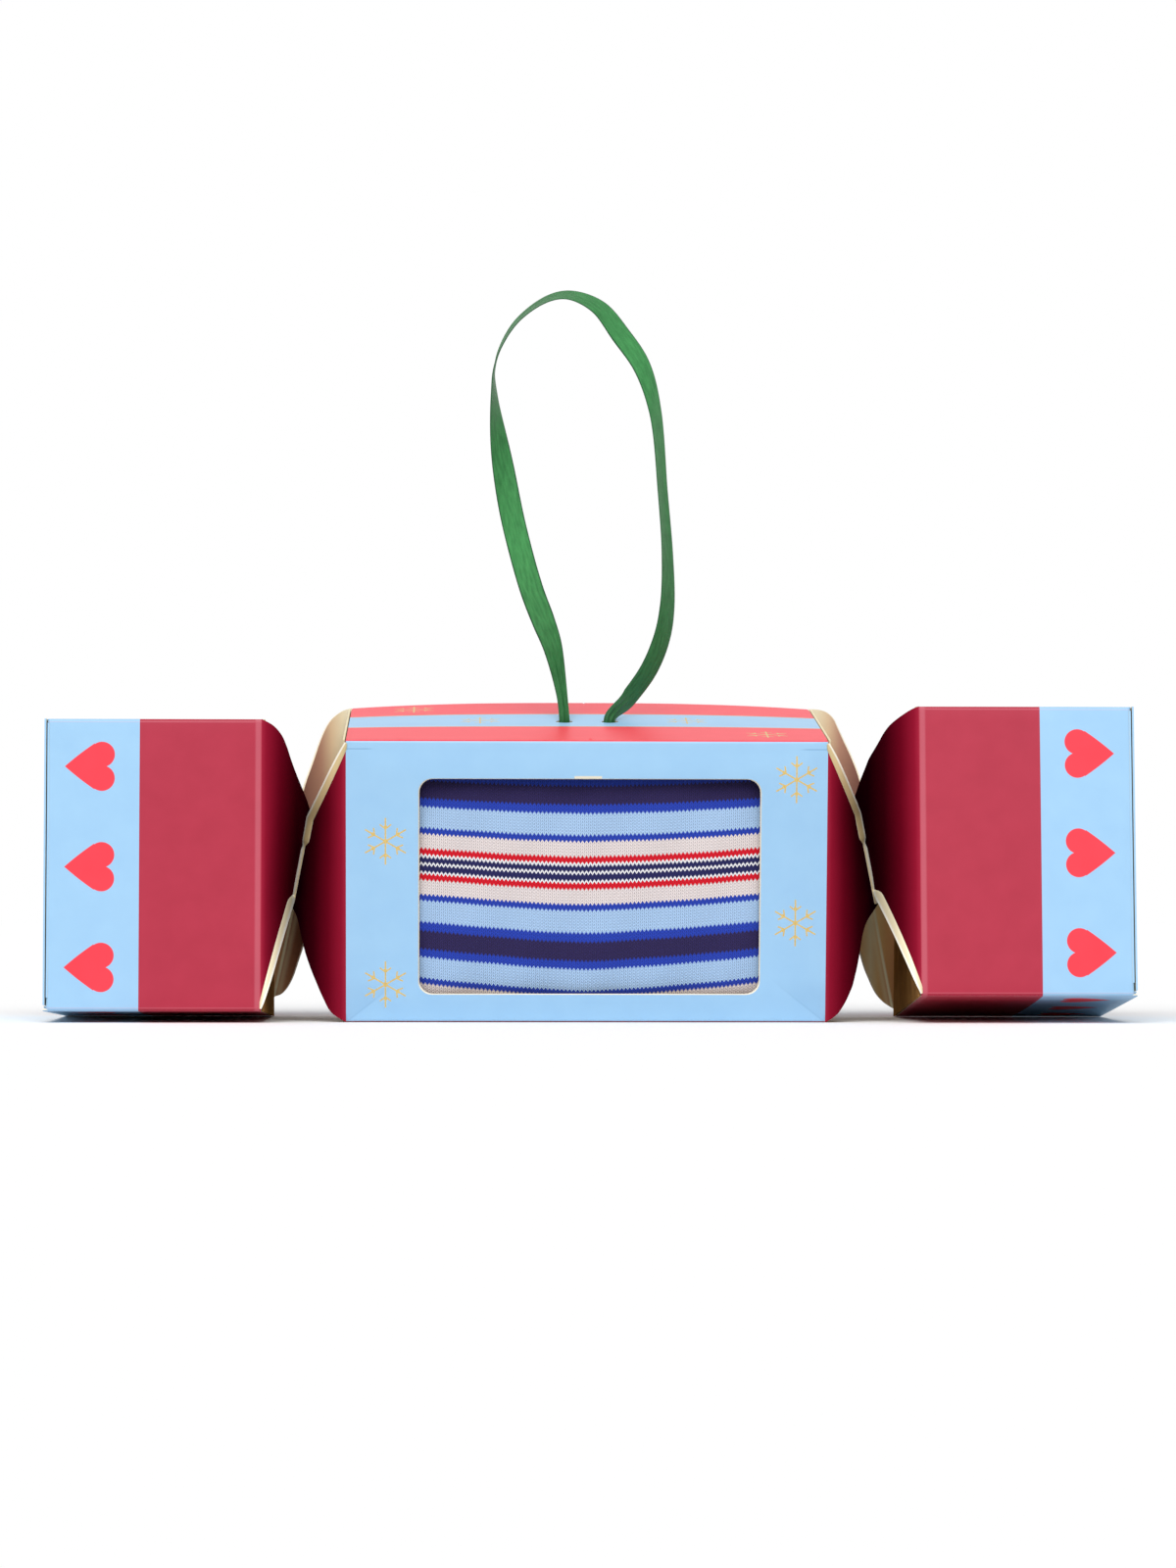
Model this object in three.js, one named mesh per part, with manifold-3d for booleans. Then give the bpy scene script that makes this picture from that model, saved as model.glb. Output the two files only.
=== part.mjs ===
// A folded card gift carton in the form of a christmas cracker, holding a folded pair of socks.
// Millimetres, +Z up, X along the length, and the window looks along -Y. The origin is on the
// ground under the middle. The carton lies as the hand leaves it: its three boxes are turned a
// little about their common length, and each one rests on a long edge.
import * as THREE from "three";
import { mergeVertices } from "three/addons/utils/BufferGeometryUtils.js";
import Module from "manifold-3d";

// Card and clearances
const CARD = 0.5; // thickness of the carton board
const GAP = 0.3; // clear space at each crease and between loose pieces

// Socks: each one folded to a thick pad, standing side by side behind the window
const SOCK_LENGTH = 120;
const SOCK_HEIGHT = 67;
const SOCK_ROUND = 11; // radius of the fold at the top and bottom
const SOCK_SOFT = 4; // rounding of the two ends
const SOCK_WINDOW_GAP = 3.2; // from the card's inside to the knit
const SOCK_END_GAP = 3.3; // from the socks' ends to the ends of the middle box
const SOCK_HEADROOM = 7.2; // from the socks to the outside of the top panel, for the knot
const SOCK_PARTING = 1;

// Middle box, made to the size of the folded socks
const BODY_LENGTH = SOCK_LENGTH + 2 * SOCK_END_GAP;
const BODY_SECTION = CARD + GAP + SOCK_HEIGHT + SOCK_HEADROOM; // outside height and depth
const BODY_TILT = 8.6; // degrees about X, top towards the viewer
const WINDOW_WIDTH = 90.2;
const WINDOW_HEIGHT = 57.5;
const WINDOW_RADIUS = 3.6;
const WINDOW_SILL = 7.5; // card left below the window
const WINDOW_SHIFT = 0.8; // the window's middle from the middle of the box

// End boxes
const END_LENGTH = 57;
const END_SECTION = 76.8;
const LEFT_TILT = -2.3;
const RIGHT_TILT = -5.4;

// Necks: a petal of card runs in from the crease of each front and back panel, with a straight
// diagonal cut on one side. The top and bottom panels have flaps folded square across the ends.
const LEFT_NECK = 22.2;
const RIGHT_NECK = 24.6;
const LEFT_WAIST = 11.1; // from the end box's crease to the narrowest place
const RIGHT_WAIST = 15.8;
const WAIST_SECTION = 37; // outside height and depth at the narrowest place
const WAIST_REACH = 7.5; // how far past the axis a petal's cut edge still meets the waist
const PETAL_STEPS = 12;
const NECK_FLAP_LENGTH = 28;
const NECK_FLAP_TAPER = 7;

// Lids, tuck tabs and dust flaps that close the outer ends
const TUCK_LENGTH = 13;
const TUCK_LIFT = 8; // degrees that the tab rises, so that it swings out past the bottom panel
const TUCK_CORNER = 9; // how far the tab's corners are cut back
const DUST_WIDTH = 28;
const DUST_SHOULDER = 0.7; // slope of a dust flap's upper edge, steep enough to follow the lid
const DUST_FOOT = 0.15; // slope of its lower edge
const DUST_CLEAR = 3.5; // height of its lower edge above the outside of the bottom panel

// Glue flaps, stuck under the top panels along the back
const GLUE_WIDTH = 12;
const GLUE_TAPER = 5;

// Ribbon: one length of satin, both ends through the top panel and knotted inside
const RIBBON_WIDTH = 6.4;
const RIBBON_THICKNESS = 0.5;
const BUNCH_WIDTH = 3; // where it is drawn together in a hole
const BUNCH_THICKNESS = 1.3;
const HOLE_DIAMETER = 4.6;
const HOLE_SPACING = 12.3;
const HOLE_SHIFT = 0.9; // the middle of the two holes from the middle of the box
const RIBBON_STEPS = 72;
const KNOT_LENGTH = 15;
const KNOT_HEIGHT = 4.4;
const KNOT_DEPTH = 6.5;

// Colours and finishes
const LIGHT_BLUE = 0xa8d6f5;
const BURGUNDY = 0xb0364c;
const RED = 0xff6469;
const GOLD = 0xd9bd86;
const GREEN = 0x3f9a58;
const KNIT_BLUE = 0xa5c8f0;
const NAVY = 0x2a2560;
const printedCard = { roughness: 0.55, metalness: 0 };
const goldCard = { roughness: 0.35, metalness: 0.8 };
const satin = { roughness: 0.35, metalness: 0 };
const knit = { roughness: 0.95, metalness: 0 };

const wasm = await Module();
wasm.setup();

const X_AXIS = new THREE.Vector3(1, 0, 0);
const rad = THREE.MathUtils.degToRad;
const part = new THREE.Group();
part.name = "christmas_cracker";

function addPiece(group, name, geometry, color, finish) {
  const material = new THREE.MeshStandardMaterial({ color, ...finish });
  const mesh = new THREE.Mesh(geometry, material);
  mesh.name = name;
  group.add(mesh);
  return mesh;
}

// A closed skin over a row of rings that all have the same number of points.
function loft(rings) {
  const count = rings[0].length;
  const points = rings.flat();
  const faces = [];
  for (let i = 0; i + 1 < rings.length; i += 1) {
    for (let j = 0; j < count; j += 1) {
      const a = i * count + j;
      const b = i * count + ((j + 1) % count);
      faces.push(a, b, b + count, a, b + count, a + count);
    }
  }
  const last = (rings.length - 1) * count;
  for (let j = 1; j + 1 < count; j += 1) {
    faces.push(0, j + 1, j);
    faces.push(last, last + j, last + j + 1);
  }
  const geometry = new THREE.BufferGeometry().setFromPoints(points);
  geometry.setIndex(faces);
  return geometry;
}

// A flat plate between two corners.
function plate(low, high) {
  const size = high.map((value, i) => value - low[i]);
  const geometry = new THREE.BoxGeometry(...size);
  return geometry.translate(...high.map((value, i) => (value + low[i]) / 2));
}

// A flat outline in the plane of two axes, given the card's thickness along the third.
function cutCard(outline, holes = []) {
  const shape = new THREE.Shape(outline);
  shape.holes = holes;
  return new THREE.ExtrudeGeometry(shape, { depth: CARD, bevelEnabled: false });
}

function roundedRectangle(path, x0, z0, x1, z1, radius) {
  path.moveTo(x0 + radius, z0);
  path.lineTo(x1 - radius, z0);
  path.absarc(x1 - radius, z0 + radius, radius, -Math.PI / 2, 0);
  path.lineTo(x1, z1 - radius);
  path.absarc(x1 - radius, z1 - radius, radius, 0, Math.PI / 2);
  path.lineTo(x0 + radius, z1);
  path.absarc(x0 + radius, z1 - radius, radius, Math.PI / 2, Math.PI);
  path.lineTo(x0, z0 + radius);
  path.absarc(x0 + radius, z0 + radius, radius, Math.PI, 1.5 * Math.PI);
  return path;
}

function solidOf(geometry) {
  const bare = geometry.clone();
  bare.deleteAttribute("normal");
  bare.deleteAttribute("uv");
  const merged = mergeVertices(bare, 1e-4);
  return new wasm.Manifold(
    new wasm.Mesh({
      numProp: 3,
      vertProperties: merged.attributes.position.array,
      triVerts: new Uint32Array(merged.index.array),
    }),
  );
}

function geometryOf(solid) {
  const { vertProperties, triVerts } = solid.getMesh();
  const geometry = new THREE.BufferGeometry();
  geometry.setAttribute("position", new THREE.BufferAttribute(vertProperties, 3));
  geometry.setIndex(new THREE.BufferAttribute(triVerts, 1));
  return geometry;
}

// A box turned about X stands on an edge, so its axis is this high.
function restingHeight(half, tilt) {
  return half * (Math.cos(rad(tilt)) + Math.sin(Math.abs(rad(tilt))));
}

function tiltedGroup(x, half, tilt) {
  const group = new THREE.Group();
  group.position.set(x, 0, restingHeight(half, tilt));
  group.rotation.x = rad(tilt);
  part.add(group);
  return group;
}

const bodyHalf = BODY_SECTION / 2;
const endHalf = END_SECTION / 2;
const totalLength = 2 * END_LENGTH + LEFT_NECK + RIGHT_NECK + BODY_LENGTH;
const leftCrease = -totalLength / 2 + END_LENGTH;
const rightCrease = totalLength / 2 - END_LENGTH;
const bodyX = (leftCrease + LEFT_NECK + rightCrease - RIGHT_NECK) / 2;
const body = tiltedGroup(bodyX, bodyHalf, BODY_TILT);

// The middle box: four panels, the front one with its window and the top one with two holes.
const windowX = WINDOW_WIDTH / 2;
const frontOutline = [
  new THREE.Vector2(-BODY_LENGTH / 2, -bodyHalf),
  new THREE.Vector2(BODY_LENGTH / 2, -bodyHalf),
  new THREE.Vector2(BODY_LENGTH / 2, bodyHalf),
  new THREE.Vector2(-BODY_LENGTH / 2, bodyHalf),
];
const windowPath = roundedRectangle(
  new THREE.Path(),
  WINDOW_SHIFT - windowX,
  -bodyHalf + WINDOW_SILL,
  WINDOW_SHIFT + windowX,
  -bodyHalf + WINDOW_SILL + WINDOW_HEIGHT,
  WINDOW_RADIUS,
);
const frontPanel = cutCard(frontOutline, [windowPath]);
frontPanel.rotateX(Math.PI / 2).translate(0, -bodyHalf + CARD, 0);
addPiece(body, "front_panel", frontPanel, LIGHT_BLUE, printedCard);

const inset = CARD + GAP; // the top and bottom panels stand between the front and back ones
const bodyLow = [-BODY_LENGTH / 2, -bodyHalf + inset];
const bodyHigh = [BODY_LENGTH / 2, bodyHalf - inset];
const holeAt = [-1, 1].map((side) => HOLE_SHIFT + (side * HOLE_SPACING) / 2);
let topSolid = solidOf(plate([...bodyLow, bodyHalf - CARD], [...bodyHigh, bodyHalf]));
for (const x of holeAt) {
  const drill = new THREE.CylinderGeometry(HOLE_DIAMETER / 2, HOLE_DIAMETER / 2, 4 * CARD, 24);
  drill.rotateX(Math.PI / 2).translate(x, 0, bodyHalf - CARD / 2);
  topSolid = topSolid.subtract(solidOf(drill));
}
addPiece(body, "top_panel", geometryOf(topSolid), RED, printedCard);

const backPanel = plate(
  [-BODY_LENGTH / 2, bodyHalf - CARD, -bodyHalf],
  [BODY_LENGTH / 2, bodyHalf, bodyHalf],
);
addPiece(body, "back_panel", backPanel, LIGHT_BLUE, printedCard);
const bottomPanel = plate([...bodyLow, -bodyHalf], [...bodyHigh, -bodyHalf + CARD]);
addPiece(body, "bottom_panel", bottomPanel, BURGUNDY, printedCard);

// A glue flap is a tapered strip hinged on the back panel and stuck under the top panel.
function glueFlap(x0, x1, half) {
  const root = half - inset;
  const outline = [
    new THREE.Vector2(x0, root),
    new THREE.Vector2(x0 + GLUE_TAPER, root - GLUE_WIDTH),
    new THREE.Vector2(x1 - GLUE_TAPER, root - GLUE_WIDTH),
    new THREE.Vector2(x1, root),
  ];
  return cutCard(outline).translate(0, 0, half - inset - CARD);
}
const bodyGlue = glueFlap(-BODY_LENGTH / 2, BODY_LENGTH / 2, bodyHalf);
addPiece(body, "body_glue_flap", bodyGlue, GOLD, goldCard);

// One petal of a neck, on the front face of a box whose crease is at x = 0. It reaches along
// +X or -X and curls in towards the axis. Its full edge follows the corner of the neck, on
// the +Z or -Z side, and its other edge is the diagonal cut.
function petal({ half, reach, towards, fullSide }) {
  const curl = (half - WAIST_SECTION / 2) / (reach * reach);
  const rings = [];
  for (let i = 0; i <= PETAL_STEPS; i += 1) {
    const t = GAP + ((reach - GAP) * i) / PETAL_STEPS;
    const depth = curl * t * t;
    const slope = 2 * curl * t;
    const lean = CARD / Math.hypot(1, slope);
    const full = half - depth;
    const cutEdge = -half + ((half - WAIST_REACH) * t) / reach;
    const [low, high] = fullSide > 0 ? [cutEdge, full] : [-full, -cutEdge];
    const outer = [towards * t, depth - half];
    const inner = [towards * (t - slope * lean), depth - half + lean];
    rings.push([
      new THREE.Vector3(...outer, low),
      new THREE.Vector3(...outer, high),
      new THREE.Vector3(...inner, high),
      new THREE.Vector3(...inner, low),
    ]);
  }
  return loft(towards > 0 ? rings.reverse() : rings);
}

// One half of a neck: the front and back petals, half a turn apart about the axis, and the
// two flaps that hang square from the top and bottom panels and close the end of the box.
function addNeck(group, prefix, creaseX, spec) {
  for (const [side, turn] of [
    ["front", 0],
    ["back", Math.PI],
  ]) {
    const shape = petal(spec).rotateX(turn).translate(creaseX, 0, 0);
    addPiece(group, `${prefix}_petal_${side}`, shape, BURGUNDY, printedCard);
  }
  const wide = spec.half - inset - GAP;
  const narrow = wide - NECK_FLAP_TAPER;
  const nearFace = spec.towards > 0 ? GAP : -GAP - CARD;
  for (const [side, up] of [
    ["top", 1],
    ["bottom", -1],
  ]) {
    const free = spec.half - NECK_FLAP_LENGTH;
    const flap = cutCard([
      new THREE.Vector2(-wide, up * spec.half),
      new THREE.Vector2(wide, up * spec.half),
      new THREE.Vector2(narrow, up * free),
      new THREE.Vector2(-narrow, up * free),
    ]);
    flap.rotateX(Math.PI / 2).rotateZ(Math.PI / 2).translate(creaseX + nearFace, 0, 0);
    addPiece(group, `${prefix}_flap_${side}`, flap, BURGUNDY, printedCard);
  }
}

const bodyNeck = { half: bodyHalf, fullSide: -1 };
for (const [prefix, towards, neckRest] of [
  ["left_body", -1, LEFT_NECK - LEFT_WAIST],
  ["right_body", 1, RIGHT_NECK - RIGHT_WAIST],
]) {
  const reach = neckRest - GAP / 2;
  addNeck(body, prefix, (towards * BODY_LENGTH) / 2, { ...bodyNeck, towards, reach });
}

// The socks stand on the bottom panel. Each is a pad with round folds and soft ends.
function foldedSock(thickness) {
  const shape = roundedRectangle(
    new THREE.Shape(),
    -thickness / 2 + SOCK_SOFT,
    SOCK_SOFT,
    thickness / 2 - SOCK_SOFT,
    SOCK_HEIGHT - SOCK_SOFT,
    SOCK_ROUND - SOCK_SOFT,
  );
  const geometry = new THREE.ExtrudeGeometry(shape, {
    depth: SOCK_LENGTH - 2 * SOCK_SOFT,
    curveSegments: 6,
    bevelEnabled: true,
    bevelSegments: 3,
    bevelSize: SOCK_SOFT,
    bevelThickness: SOCK_SOFT,
  });
  geometry.translate(0, 0, SOCK_SOFT - SOCK_LENGTH / 2);
  return geometry.rotateX(Math.PI / 2).rotateZ(Math.PI / 2);
}
const sockReach = bodyHalf - CARD - SOCK_WINDOW_GAP;
const sockThickness = sockReach - SOCK_PARTING / 2;
for (const [name, side, color] of [
  ["sock_front", -1, KNIT_BLUE],
  ["sock_back", 1, NAVY],
]) {
  const sock = addPiece(body, name, foldedSock(sockThickness), color, knit);
  sock.position.y = (side * (sockReach + SOCK_PARTING / 2)) / 2;
  sock.position.z = -bodyHalf + inset;
}

// The ribbon. Its loop stands over the box, facing the window on the left leg and turned
// past its edge at the top. Points are [x, y, z, degrees that the band is turned].
const ribbonRoute = [
  [-7.4, 0.2, 90.5, 12],
  [-9.6, -0.4, 101.1, 8],
  [-12.1, -0.8, 108, 4],
  [-15.4, -1.2, 116.8, 0],
  [-20.2, -1.8, 134.5, 0],
  [-22.9, -2.2, 148.8, 6],
  [-24.7, -2.4, 161, 42],
  [-25.5, -2.5, 169.3, 72],
  [-25.6, -2.5, 175.6, 90],
  [-24.1, -2.3, 181.5, 98],
  [-19.2, -2, 189.4, 104],
  [-11, -1.6, 195.3, 108],
  [-5, -1.4, 196.3, 111],
  [2.7, -1.2, 193.1, 120],
  [8.9, -1, 185.5, 126],
  [14.5, -0.8, 177.2, 126],
  [18.2, -0.6, 165, 117],
  [20.3, -0.3, 143.3, 116],
  [21.6, 0, 125.8, 121],
  [21.6, 0.1, 112.5, 127],
  [20.2, 0.2, 103.8, 129],
  [16.7, 0.3, 95, 127],
  [11.2, 0.2, 87.2, 122],
];
const BUNCH_RISE = 1.6; // the band is drawn together this far above and below the panel
const BUNCH_REACH = 9; // length over which it opens to its full width
function holePoint(x, rise) {
  const point = new THREE.Vector3(x, 0, bodyHalf + rise);
  return point.applyAxisAngle(X_AXIS, rad(BODY_TILT)).add(body.position);
}
const routePoints = [
  holePoint(holeAt[0], -BUNCH_RISE),
  holePoint(holeAt[0], BUNCH_RISE),
  ...ribbonRoute.map(([x, y, z]) => new THREE.Vector3(x, y, z)),
  holePoint(holeAt[1], BUNCH_RISE),
  holePoint(holeAt[1], -BUNCH_RISE),
];
const firstTurn = ribbonRoute[0][3];
const lastTurn = ribbonRoute[ribbonRoute.length - 1][3];
const turns = [
  firstTurn,
  firstTurn,
  ...ribbonRoute.map((point) => point[3]),
  lastTurn,
  lastTurn,
];
const ribbonCurve = new THREE.CatmullRomCurve3(routePoints, false, "centripetal");
const ribbonLength = ribbonCurve.getLength();

// The eight corners of the band's section, flat with thin edges.
const bandSection = [
  [0.5, -0.25],
  [0.5, 0.25],
  [0.42, 0.5],
  [-0.42, 0.5],
  [-0.5, 0.25],
  [-0.5, -0.25],
  [-0.42, -0.5],
  [0.42, -0.5],
];
function bandRing(step) {
  const u = step / RIBBON_STEPS;
  const centre = ribbonCurve.getPointAt(u);
  const along = ribbonCurve.getTangentAt(u);
  const place = ribbonCurve.getUtoTmapping(u) * (turns.length - 1);
  const before = Math.min(Math.floor(place), turns.length - 2);
  const turn = THREE.MathUtils.lerp(turns[before], turns[before + 1], place - before);
  const flat = new THREE.Vector3(along.z, 0, -along.x).normalize();
  const across = flat.applyAxisAngle(along, rad(turn));
  const through = along.clone().cross(across);
  const fromEnd = Math.min(u, 1 - u) * ribbonLength - 2 * BUNCH_RISE;
  const open = THREE.MathUtils.smoothstep(fromEnd, 0, BUNCH_REACH);
  const width = THREE.MathUtils.lerp(BUNCH_WIDTH, RIBBON_WIDTH, open);
  const thickness = THREE.MathUtils.lerp(BUNCH_THICKNESS, RIBBON_THICKNESS, open);
  return bandSection.map(([a, b]) =>
    centre
      .clone()
      .addScaledVector(across, a * width)
      .addScaledVector(through, b * thickness),
  );
}
const bandRings = Array.from({ length: RIBBON_STEPS + 1 }, (_, step) => bandRing(step));
addPiece(part, "ribbon_loop", loft(bandRings), GREEN, satin);

// The knot lies under the two holes, a short lumpy roll, wider in the middle.
const knotRings = 10;
const knotProfile = [];
for (let i = 0; i <= knotRings; i += 1) {
  const angle = (Math.PI * i) / knotRings;
  const swell = 1 + 0.12 * Math.cos(4 * angle);
  const radius = i === 0 || i === knotRings ? 0 : (Math.sin(angle) ** 0.6 * swell) / 2.24;
  knotProfile.push(new THREE.Vector2(radius, -Math.cos(angle) / 2));
}
const knot = new THREE.LatheGeometry(knotProfile, 12);
knot.rotateZ(-Math.PI / 2).scale(KNOT_LENGTH, KNOT_DEPTH, KNOT_HEIGHT);
const knotPiece = addPiece(body, "ribbon_knot", knot, GREEN, satin);
const knotDrop = BUNCH_RISE + GAP + KNOT_HEIGHT / 2;
knotPiece.position.set(HOLE_SHIFT, 0, bodyHalf - knotDrop);

// The end boxes. Each is built with its crease at x = 0 and its outer end on the side that
// outward points to, then set in its place.
function addEnd(name, outward, creaseX, waist, tilt) {
  const group = tiltedGroup(creaseX, endHalf, tilt);
  const lidInside = END_LENGTH - CARD;
  const dustOutside = lidInside - GAP;
  const dustInside = dustOutside - CARD;
  const xRange = (from, to) => (outward > 0 ? [from, to] : [-to, -from]);
  const block = (from, to, low, high) => {
    const [x0, x1] = xRange(from, to);
    return plate([x0, ...low], [x1, ...high]);
  };
  const add = (piece, geometry, color = BURGUNDY, finish = printedCard) =>
    addPiece(group, `${name}_${piece}`, geometry, color, finish);

  // The front and back panels stop short for the dust flaps, the top one for the lid.
  const wall = dustInside - GAP;
  const frontLow = [-endHalf, -endHalf];
  const frontHigh = [-endHalf + CARD, endHalf];
  add("front_panel", block(0, wall, frontLow, frontHigh));
  add("back_panel", block(0, wall, [endHalf - CARD, -endHalf], [endHalf, endHalf]));
  const between = endHalf - inset;
  add("top_panel", block(0, lidInside - GAP, [-between, endHalf - CARD], [between, endHalf]));
  add("bottom_panel", block(0, END_LENGTH, [-between, -endHalf], [between, -endHalf + CARD]));
  const [glue0, glue1] = xRange(0, wall);
  add("glue_flap", glueFlap(glue0, glue1, endHalf), GOLD, goldCard);

  addNeck(group, name, 0, {
    half: endHalf,
    fullSide: 1,
    towards: -outward,
    reach: waist - GAP / 2,
  });

  // The lid hangs from the outer edge of the top panel and closes over the end.
  const tabRoot = -endHalf + inset;
  const lidLow = tabRoot + CARD + GAP;
  add("lid", block(lidInside, END_LENGTH, [-endHalf, lidLow], [endHalf, endHalf]), LIGHT_BLUE);

  // The tuck tab runs back in from the lid's lower edge, over the bottom panel.
  const tabHalf = between - GAP;
  const tab = cutCard([
    new THREE.Vector2(0, -tabHalf),
    new THREE.Vector2(TUCK_LENGTH / 2, -tabHalf),
    new THREE.Vector2(TUCK_LENGTH, -tabHalf + TUCK_CORNER),
    new THREE.Vector2(TUCK_LENGTH, tabHalf - TUCK_CORNER),
    new THREE.Vector2(TUCK_LENGTH / 2, tabHalf),
    new THREE.Vector2(0, tabHalf),
  ]);
  tab.rotateY(-rad(TUCK_LIFT)).translate(-END_LENGTH + CARD / 2, 0, tabRoot);
  if (outward > 0) tab.rotateZ(Math.PI);
  add("tuck_tab", tab, LIGHT_BLUE);

  // A dust flap folds in behind the lid from the outer edge of the front and back panels.
  const shoulder = endHalf - inset - GAP;
  const foot = -endHalf + DUST_CLEAR;
  for (const [side, towardsBack] of [
    ["front", 1],
    ["back", -1],
  ]) {
    const flap = cutCard([
      new THREE.Vector2(0, foot),
      new THREE.Vector2(DUST_WIDTH, foot + DUST_FOOT * DUST_WIDTH),
      new THREE.Vector2(DUST_WIDTH, shoulder - DUST_SHOULDER * DUST_WIDTH),
      new THREE.Vector2(0, shoulder),
    ]);
    flap.rotateX(Math.PI / 2).rotateZ((towardsBack * Math.PI) / 2);
    const root = -towardsBack * endHalf;
    const nearFace = outward > 0 ? dustInside : -dustOutside;
    flap.translate(nearFace + (towardsBack > 0 ? 0 : CARD), root, 0);
    add(`dust_flap_${side}`, flap, LIGHT_BLUE);
  }
}
addEnd("left", -1, leftCrease, LEFT_WAIST, LEFT_TILT);
addEnd("right", 1, rightCrease, RIGHT_WAIST, RIGHT_TILT);

export default part;
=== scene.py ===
import math
from types import SimpleNamespace

import bpy
import numpy as np
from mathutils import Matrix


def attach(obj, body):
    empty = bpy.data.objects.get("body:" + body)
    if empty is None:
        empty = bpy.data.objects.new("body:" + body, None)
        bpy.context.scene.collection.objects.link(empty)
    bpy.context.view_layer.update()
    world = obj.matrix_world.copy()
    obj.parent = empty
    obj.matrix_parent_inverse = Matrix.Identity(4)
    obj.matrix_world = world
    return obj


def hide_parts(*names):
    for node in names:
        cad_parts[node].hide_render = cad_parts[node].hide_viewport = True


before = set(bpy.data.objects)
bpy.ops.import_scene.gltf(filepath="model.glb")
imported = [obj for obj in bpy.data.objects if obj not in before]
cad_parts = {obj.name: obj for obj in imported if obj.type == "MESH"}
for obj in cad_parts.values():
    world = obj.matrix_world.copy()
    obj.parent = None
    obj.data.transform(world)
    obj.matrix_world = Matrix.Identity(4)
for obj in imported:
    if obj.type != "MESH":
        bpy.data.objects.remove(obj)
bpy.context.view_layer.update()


# The cracker lies on a white table in front of a white wall, and is photographed from the front
# with a long lens held just above the table. The lens looks up a little.
table_top = bpy.data.meshes.new("table")
table_top.from_pydata([(-4, -3, 0), (4, -3, 0), (4, 5, 0), (-4, 5, 0)], [], [(0, 1, 2, 3)])
table = bpy.data.objects.new("table", table_top)
bpy.context.collection.objects.link(table)


def level_by_ray(tree, lighting, seen):
    """The level seen for rays from the camera, off gloss or through clear parts, that is where
    the greatest of their three signs is 1, and the level lighting for all other rays."""
    rays = tree.nodes.new("ShaderNodeLightPath")
    sign = rays.outputs["Is Camera Ray"]
    for kind in ("Is Glossy Ray", "Is Transmission Ray"):
        either = tree.nodes.new("ShaderNodeMath")
        either.operation = "MAXIMUM"
        tree.links.new(sign, either.inputs[0])
        tree.links.new(rays.outputs[kind], either.inputs[1])
        sign = either.outputs[0]
    level = tree.nodes.new("ShaderNodeMapRange")
    level.inputs["To Min"].default_value = lighting
    level.inputs["To Max"].default_value = seen
    tree.links.new(sign, level.inputs["Value"])
    return level.outputs[0]


table_white = bpy.data.materials.new("table_white")
table_white.use_nodes = True
tree = table_white.node_tree
matt_white = tree.nodes.new("ShaderNodeBsdfDiffuse")
tree.links.new(level_by_ray(tree, lighting=0.8, seen=1.09), matt_white.inputs["Color"])
tree.links.new(matt_white.outputs[0], tree.nodes["Material Output"].inputs["Surface"])
table_top.materials.append(table_white)

world = bpy.data.worlds.new("white_room")
world.use_nodes = True
background = world.node_tree.nodes["Background"]
world.node_tree.links.new(
    level_by_ray(world.node_tree, lighting=0.4, seen=1.0), background.inputs["Strength"]
)
background.inputs["Color"].default_value = (1, 1, 1, 1)
bpy.context.scene.world = world
bpy.context.scene.view_settings.view_transform = "Standard"

tent_data = bpy.data.lights.new("tent_light", "SUN")
tent_data.energy = 2.35
tent_data.angle = math.radians(50)
tent_light = bpy.data.objects.new("tent_light", tent_data)
tent_light.rotation_euler = (math.radians(46), 0, math.radians(-8))
bpy.context.collection.objects.link(tent_light)

camera_data = bpy.data.cameras.new("camera")
camera_data.lens = 113.2
camera_data.sensor_width = 36
camera_data.clip_start = 0.05
camera = bpy.data.objects.new("camera", camera_data)
camera.location = (-0.0348, -1.3349, 0.0329)
camera.rotation_euler = (math.radians(91.323), math.radians(-0.07), math.radians(-1.5))
bpy.context.collection.objects.link(camera)
bpy.context.scene.camera = camera


# The ribbon is one length of green satin, 6.4 mm wide, woven with a smooth face and a firm
# edge. It stands over the box as a loop, and both ends go down through holes and are knotted.
BODY_TILT = math.radians(8.6)
BODY_PLACE = np.array([-0.0012, 0, 0.042686])
BODY_BOX = (BODY_TILT, BODY_PLACE)
BODY_HALF = 0.0375
HOLE_MIDDLE, HOLE_ASIDE = 0.0009, 0.00615
HOLES = (HOLE_MIDDLE - HOLE_ASIDE, HOLE_MIDDLE + HOLE_ASIDE)
HOLE_LEAD = 0.0016
RIBBON_WIDTH = 0.0064
FLAT_HALF_THICK, BUNCHED_HALF_THICK = 0.00013, 0.00045
BUNCHED_WIDTHS = [0.0029, 0.0041]
# how far from each hole the band starts to open, and over what length it does
LEFT_TIED, LEFT_OPENS = 0.0075, 0.028
RIGHT_TIED, RIGHT_OPENS = 0.0032, 0.011
PLEATS = 3
FACE_POINTS, CURVE_POINTS, RIBBON_POINTS = 17, 2000, 360
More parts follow.
